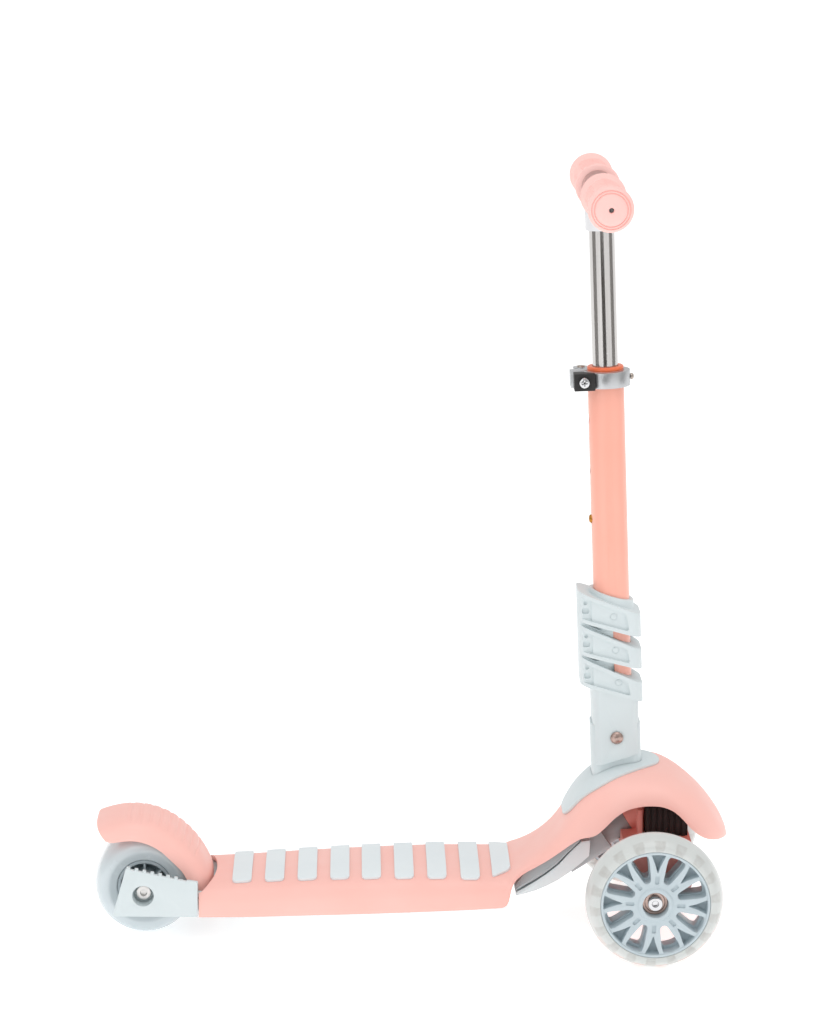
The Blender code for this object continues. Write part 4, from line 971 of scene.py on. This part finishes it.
SLEEVE_REAR = -30.4
SLEEVE_FRONT = 24.6
BANDS = (((97.0, 124.0), (80.0, 101.0)), ((67.0, 94.0), (51.0, 68.5)), ((39.0, 65.0), (21.0, 38.0)))
RIM = 3.6
CELL_FRONT = -19.0
PANEL_END = 13.5
PANEL_FLOOR = 21.4
CELL_FLOOR = 19.6
OVAL_REAR = -27.6
OVAL_FRONT = -21.2
WEDGE_FULL = -0.4
RING_PLACES = ((0.3, 100.4), (1.2, 70.2), (3.0, 40.5))


def band_line(band, upper, x):
    (rear_low, rear_high), (front_low, front_high) = band
    rear, front = (rear_high, front_high) if upper else (rear_low, front_low)
    return rear + (front - rear) * (x - SLEEVE_REAR) / (SLEEVE_FRONT - SLEEVE_REAR)


def panel_outline(band, x_rear, x_front, slant=0.0):
    return [
        (x_rear, band_line(band, False, x_rear) + RIM),
        (x_front, band_line(band, False, x_front) + RIM),
        (x_front - slant, band_line(band, True, x_front - slant) - RIM),
        (x_rear, band_line(band, True, x_rear) - RIM),
    ]


def both_sides(outline, floor):
    return merged([prism(outline, floor, 40.0), prism(outline, -40.0, -floor)])


def circle(radius, x, z):
    return [(x + radius * math.cos(a), z + radius * math.sin(a)) for a in turn_steps(24)]


def sleeve_tools():
    """Panels, cells, ovals and rings sunk in the three bands, and the gaps between the bands."""
    tools = []
    for index, band in enumerate(BANDS):
        panel = round_off(panel_outline(band, SLEEVE_REAR + 2.4, PANEL_END, 2.5), 3.0, 5)
        tools.append(column_tool(f"panel_tool_{index}", both_sides(panel, PANEL_FLOOR)))
        cell = round_off(panel_outline(band, SLEEVE_REAR + 2.4, CELL_FRONT), 1.0, 3)
        tools.append(column_tool(f"cell_tool_{index}", both_sides(cell, CELL_FLOOR)))
        middle = (band_line(band, False, -24.5) + band_line(band, True, -24.5)) / 2.0
        low, high = middle - 4.9, middle + 0.3
        oval = round_off([(OVAL_REAR, low), (OVAL_FRONT, low), (OVAL_FRONT, high), (OVAL_REAR, high)], 2.5, 6)
        tools.append(column_tool(f"oval_tool_{index}", both_sides(oval, CELL_FLOOR - 2.0)))
        dimple = both_sides(circle(1.7, -24.4, middle + 5.0), CELL_FLOOR - 1.6)
        tools.append(column_tool(f"dimple_tool_{index}", dimple))
        x, z = RING_PLACES[index]
        ring_shape = [(2.5, PANEL_FLOOR - 0.5), (3.4, PANEL_FLOOR - 0.5), (3.4, 40.0), (2.5, 40.0)]
        ring = merged([turned(ring_shape, "Y", 40), spun(turned(ring_shape, "Y", 40), 180.0, "Z")])
        tools.append(column_tool(f"ring_tool_{index}", shifted(ring, x, 0.0, z)))
    for index, (upper, lower) in enumerate(zip(BANDS, BANDS[1:])):
        for word, start, end, floor in (("slit", -34.0, 30.0, 17.5), ("gap", WEDGE_FULL, 30.0, 0.0)):
            outline = [
                (start, band_line(lower, True, start)),
                (end, band_line(lower, True, end)),
                (end, band_line(upper, False, end)),
                (start, band_line(upper, False, start)),
            ]
            shape = both_sides(outline, floor) if floor else prism(outline, -40.0, 40.0)
            tools.append(column_tool(f"{word}_tool_{index}", shape))
    return tools


refined("column_sleeve", GREY, 0.7, sleeve_tools(), angle=32.0, segments=2)
refined("column_post", GREY, 0.5)
refined("column_bolt", COPPERY, 0.3)
refined("deck_bottom_cover", GREY, 0.8)


def make_outer_tube():
    profile = [(TUBE_INNER, -60.0), (TUBE_RADIUS, -60.0), (TUBE_RADIUS, 318.0), (TUBE_INNER, 318.0)]
    tube = on_column("outer_tube_fine", turned(profile, "Z", 128), SALMON)
    for index, height in enumerate((185.0, 230.0, 275.0)):
        hole = shifted(rod(4.4, -25.0, -5.0, "X", 40), z=height)
        carve(tube, column_tool(f"height_tool_{index}", hole))
    carve(tube, column_tool("bolt_tool", shifted(rod(3.1, -40.0, 40.0, "Y", 32), z=-10.0)))
    soften(tube, 0.25, 2, 40.0)
    return stand_for(tube, "outer_tube")


def make_inner_tube():
    profile = [(9.8, 120.0), (11.2, 120.0), (11.2, 462.5), (9.8, 462.5)]
    tube = on_column("inner_tube_fine", turned(profile, "Z", 128), CHROME_TUBE)
    carve(tube, column_tool("button_tool", shifted(rod(4.2, -30.0, -4.0, "X", 40), z=185.0)))
    soften(tube, 0.2, 1, 40.0)
    return stand_for(tube, "inner_tube")


def make_shim():
    profile = [
        (11.4, 288.0),
        (13.9, 288.0),
        (13.9, 318.3),
        (15.7, 318.3),
        (15.9, 318.6),
        (15.9, 320.8),
        (15.3, 321.4),
        (11.7, 321.4),
        (11.4, 321.0),
    ]
    shim = on_column("tube_shim_fine", turned(profile, "Z", 96), ORANGE)
    shim.data.set_sharp_from_angle(angle=math.radians(50.0))
    return stand_for(shim, "tube_shim")


def chrome_tube():
    """Bright plating with fine drawn lines and a few pale specks."""
    made, nodes, links, shader = new_material("Chrome_tube")
    coords = nodes.new("ShaderNodeTexCoord").outputs["Object"]
    specks = nodes.new("ShaderNodeTexVoronoi")
    specks.inputs["Scale"].default_value = 110.0
    links.new(coords, specks.inputs["Vector"])
    spot = nodes.new("ShaderNodeMapRange")
    spot.inputs["From Min"].default_value = 0.02
    spot.inputs["From Max"].default_value = 0.07
    spot.inputs["To Min"].default_value = 1.0
    spot.inputs["To Max"].default_value = 0.0
    links.new(specks.outputs["Distance"], spot.inputs["Value"])
    drawn = noise(nodes, links, 260.0, 3.0, coords, (1.0, 1.0, 0.02))
    base = two_tone(
        nodes, links, spread(nodes, links, drawn, 0.0, 1.0), linear(206, 204, 202), linear(186, 183, 181)
    )
    mix = nodes.new("ShaderNodeMix")
    mix.data_type = "RGBA"
    links.new(spot.outputs["Result"], mix.inputs["Factor"])
    links.new(base, mix.inputs["A"])
    mix.inputs["B"].default_value = linear(244, 244, 244)
    links.new(mix.outputs["Result"], shader.inputs["Base Color"])
    links.new(spread(nodes, links, drawn, 0.1, 0.2), shader.inputs["Roughness"])
    shader.inputs["Metallic"].default_value = 1.0
    return made


CHROME_TUBE = chrome_tube()
make_outer_tube()
make_inner_tube()
make_shim()
refined("clamp_collar", ALUMINIUM, 0.5, angle=30.0)
refined("clamp_block", BLACK, 0.9, segments=3)
refined("clamp_lever", ALUMINIUM, 0.6)
refined("clamp_bolt", STEEL, 0.3)
refined("collar_screw", STEEL, 0.3)
refined("lever_barrel", STEEL, 0.4)
refined("height_button", BRASS, 0.3)
refined("tee_joint", CHROME, 0.6)


def make_cap_nut():
    """Dome-headed nut on the near end of the clamp bolt, with a cross recess."""
    profile = [
        (0.0, -24.2),
        (4.8, -24.2),
        (4.9, -24.8),
        (4.8, -26.6),
        (4.2, -27.7),
        (3.0, -28.2),
        (0.0, -28.4),
    ]
    nut = on_column("clamp_nut_fine", shifted(turned(profile, "Y", 64), -20.0, 0.0, 311.0), CHROME)
    for word, half_x, half_z in (("long", 2.6, 0.5), ("short", 0.5, 2.6)):
        slit = shifted(box(-half_x, half_x, -40.0, -27.0, -half_z, half_z), -20.0, 0.0, 311.0)
        carve(nut, column_tool(f"cross_{word}_tool", slit))
    soften(nut, 0.15, 2, 40.0)
    return stand_for(nut, "clamp_nut")


make_cap_nut()

# ---- handlebar ---------------------------------------------------------------------------------------------
BAR_HEIGHT = 474.0
GRIP_SIDE = [
    (11.3, 33.2),
    (18.6, 33.0),
    (19.5, 33.6),
    (19.8, 35.2),
    (19.6, 36.8),
    (18.2, 38.0),
    (16.4, 39.4),
    (15.6, 41.0),
    (15.5, 43.0),
    (15.5, 114.0),
    (15.8, 115.6),
    (17.0, 117.2),
    (18.8, 118.8),
    (19.4, 120.6),
    (19.5, 122.8),
    (19.4, 124.8),
    (19.0, 126.4),
    (18.2, 127.6),
    (16.8, 128.7),
    (16.5, 128.0),
    (16.0, 127.8),
    (15.6, 128.4),
    (15.2, 129.3),
    (14.7, 129.6),
    (14.3, 129.2),
    (14.0, 128.7),
    (13.6, 128.9),
    (13.2, 130.2),
    (12.0, 131.2),
    (9.0, 132.2),
    (5.5, 132.8),
    (3.2, 133.0),
    (2.5, 132.8),
    (2.2, 132.2),
    (2.2, 127.9),
    (11.3, 127.9),
]
CHEVRONS = 7


def chevron_ring(turn, height):
    """One raised V of the grip's moulding, as a thin bent bar on its barrel."""
    bm = bmesh.new()
    rows = []
    for step in range(25):
        angle = math.radians(-44.0 + 88.0 * step / 24.0) + turn
        along = height + 8.0 * abs(step / 12.0 - 1.0)
        row = []
        for reach, off in ((15.2, -1.3), (16.5, -0.6), (16.5, 0.6), (15.2, 1.3)):
            row.append(bm.verts.new((reach * math.sin(angle), along + off, reach * math.cos(angle))))
        rows.append(row)
    for a, b in zip(rows, rows[1:]):
        for i in range(4):
            bm.faces.new((a[i], a[(i + 1) % 4], b[(i + 1) % 4], b[i]))
    bm.faces.new(rows[0])
    bm.faces.new(list(reversed(rows[-1])))
    return bm


def make_grip(label, side):
    pieces = [turned(GRIP_SIDE, "Y", 96)]
    for index in range(CHEVRONS):
        for turn in (0.0, math.pi / 2.0, math.pi, 1.5 * math.pi):
            pieces.append(chevron_ring(turn, 45.0 + 10.0 * index))
    bm = merged(pieces)
    if side < 0:
        spun(bm, 180.0, "Z")
    grip = on_column(f"grip_{label}_fine", shifted(bm, z=BAR_HEIGHT), GRIP)
    grip.data.set_sharp_from_angle(angle=math.radians(50.0))
    return stand_for(grip, f"grip_{label}")


for label, side in (("left", 1), ("right", -1)):
    make_grip(label, side)

bar_profile = [(9.5, -127.4), (11.0, -127.4), (11.0, 127.4), (9.5, 127.4)]
bar = on_column("handlebar_tube_fine", shifted(turned(bar_profile, "Y", 96), z=BAR_HEIGHT), CHROME_TUBE)
bar.data.set_sharp_from_angle(angle=math.radians(40.0))
stand_for(bar, "handlebar_tube")

# ---- lean steering -----------------------------------------------------------------------------------------
refined("pivot_housing", SHADED_GREY, 1.2, segments=3)
refined("pivot_cover", GREY, 2.0, segments=4)
refined("truck_beam", TRUCK_PINK, 1.0, segments=2)
refined("steering_rubber_left", RUBBER, 0.4)
refined("steering_rubber_right", RUBBER, 0.4)
for node in ("kingpin", "kingpin_nut", "brake_pin", "brake_spring", "button_spring"):
    kept(node, STEEL)


# ---- camera, floor and light -------------------------------------------------------------------------------
CAMERA_PLACE = (-0.04816, -3.01071, 1.03076)
CAMERA_TILT = math.radians(90.0 - 12.2)
CAMERA_TURN = -math.radians(0.9)
CAMERA_LENS = 123.046875
SENSOR_WIDTH = 36.0


def camera():
    made = bpy.data.objects.new("camera", bpy.data.cameras.new("camera"))
    made.data.sensor_width = SENSOR_WIDTH
    made.data.lens = CAMERA_LENS
    made.data.clip_end = 100.0
    made.location = CAMERA_PLACE
    made.rotation_euler = (CAMERA_TILT, 0.0, CAMERA_TURN)
    bpy.context.scene.collection.objects.link(made)
    bpy.context.scene.camera = made


def floor():
    made, nodes, links, shader = new_material("White_floor")
    coords = nodes.new("ShaderNodeTexCoord").outputs["Object"]
    links.new(
        two_tone(
            nodes, links, spread(nodes, links, noise(nodes, links, 3.0, 3.0, coords), 0.0, 1.0),
            linear(250, 250, 250), linear(247, 247, 247),
        ),
        shader.inputs["Base Color"],
    )
    shader.inputs["Roughness"].default_value = 0.9
    shader.inputs["Specular IOR Level"].default_value = 0.1
    shader.inputs["Emission Color"].default_value = (1.0, 1.0, 1.0, 1.0)
    shader.inputs["Emission Strength"].default_value = 0.45
    bm = bmesh.new()
    bmesh.ops.create_grid(bm, x_segments=1, y_segments=1, size=40000.0)
    plane = put("floor", bm, made, (0.0, 0.0, -0.2))


def soft_light(name, place, aim, size, power):
    data = bpy.data.lights.new(name, "AREA")
    data.shape = "DISK"
    data.size = size
    data.energy = power
    light = bpy.data.objects.new(name, data)
    light.location = place
    light.rotation_euler = (Vector(aim) - Vector(place)).to_track_quat("-Z", "Y").to_euler()
    bpy.context.scene.collection.objects.link(light)


def surround():
    """A bright studio: white overhead, softer round the sides, with grey bands for the metal to show."""
    world = bpy.data.worlds.new("studio")
    bpy.context.scene.world = world
    world.use_nodes = True
    nodes, links = world.node_tree.nodes, world.node_tree.links
    back = nodes["Background"]
    coords = nodes.new("ShaderNodeTexCoord").outputs["Generated"]
    split = nodes.new("ShaderNodeSeparateXYZ")
    links.new(coords, split.inputs["Vector"])
    angle = nodes.new("ShaderNodeMath")
    angle.operation = "ARCTAN2"
    links.new(split.outputs["Y"], angle.inputs[0])
    links.new(split.outputs["X"], angle.inputs[1])
    share = nodes.new("ShaderNodeMapRange")
    share.inputs["From Min"].default_value = -math.pi
    share.inputs["From Max"].default_value = math.pi
    links.new(angle.outputs["Value"], share.inputs["Value"])
    ramp = nodes.new("ShaderNodeValToRGB")
    links.new(share.outputs["Result"], ramp.inputs["Fac"])
    bands = (
        (0.0, 1.0),
        (0.14, 0.95),
        (0.17, 0.3),
        (0.22, 0.25),
        (0.25, 0.75),
        (0.28, 0.3),
        (0.33, 0.8),
        (0.4, 1.0),
    )
    while len(ramp.color_ramp.elements) < len(bands):
        ramp.color_ramp.elements.new(0.5)
    for element, (place, value) in zip(ramp.color_ramp.elements, bands):
        element.position = place
        element.color = (value, value, value, 1.0)
    high = nodes.new("ShaderNodeMapRange")
    high.inputs["From Min"].default_value = 0.15
    high.inputs["From Max"].default_value = 0.75
    links.new(split.outputs["Z"], high.inputs["Value"])
    mix = nodes.new("ShaderNodeMix")
    mix.data_type = "RGBA"
    links.new(high.outputs["Result"], mix.inputs["Factor"])
    links.new(ramp.outputs["Color"], mix.inputs["A"])
    mix.inputs["B"].default_value = (1.0, 1.0, 1.0, 1.0)
    links.new(mix.outputs["Result"], back.inputs["Color"])
    back.inputs["Strength"].default_value = 0.8


def screen(name, shade, *sides):
    """A dark or grey card out of view that only shiny metal shows."""
    skin = surface(f"{name}_card", linear(*shade), linear(*shade), (0.9, 0.95))
    card = put(f"{name}_card", box(*sides), skin)
    card.visible_camera = False
    card.visible_diffuse = False
    card.visible_shadow = False
    card.visible_transmission = False


camera()
floor()
surround()
screen("dark", (70, 66, 63), -390.0, 510.0, -1610.0, -1600.0, 10.0, 440.0)
screen("left_grey", (150, 148, 146), -1510.0, -1500.0, -900.0, 300.0, 10.0, 900.0)
screen("right_grey", (150, 148, 146), 1900.0, 1910.0, -900.0, 300.0, 10.0, 900.0)
soft_light("overhead", (0.3, -0.6, 2.6), (0.0, 0.0, 0.2), 2.2, 14.0)
soft_light("front", (-1.2, -2.6, 1.4), (0.0, 0.0, 0.2), 1.8, 8.0)
bpy.context.scene.view_settings.view_transform = "Standard"
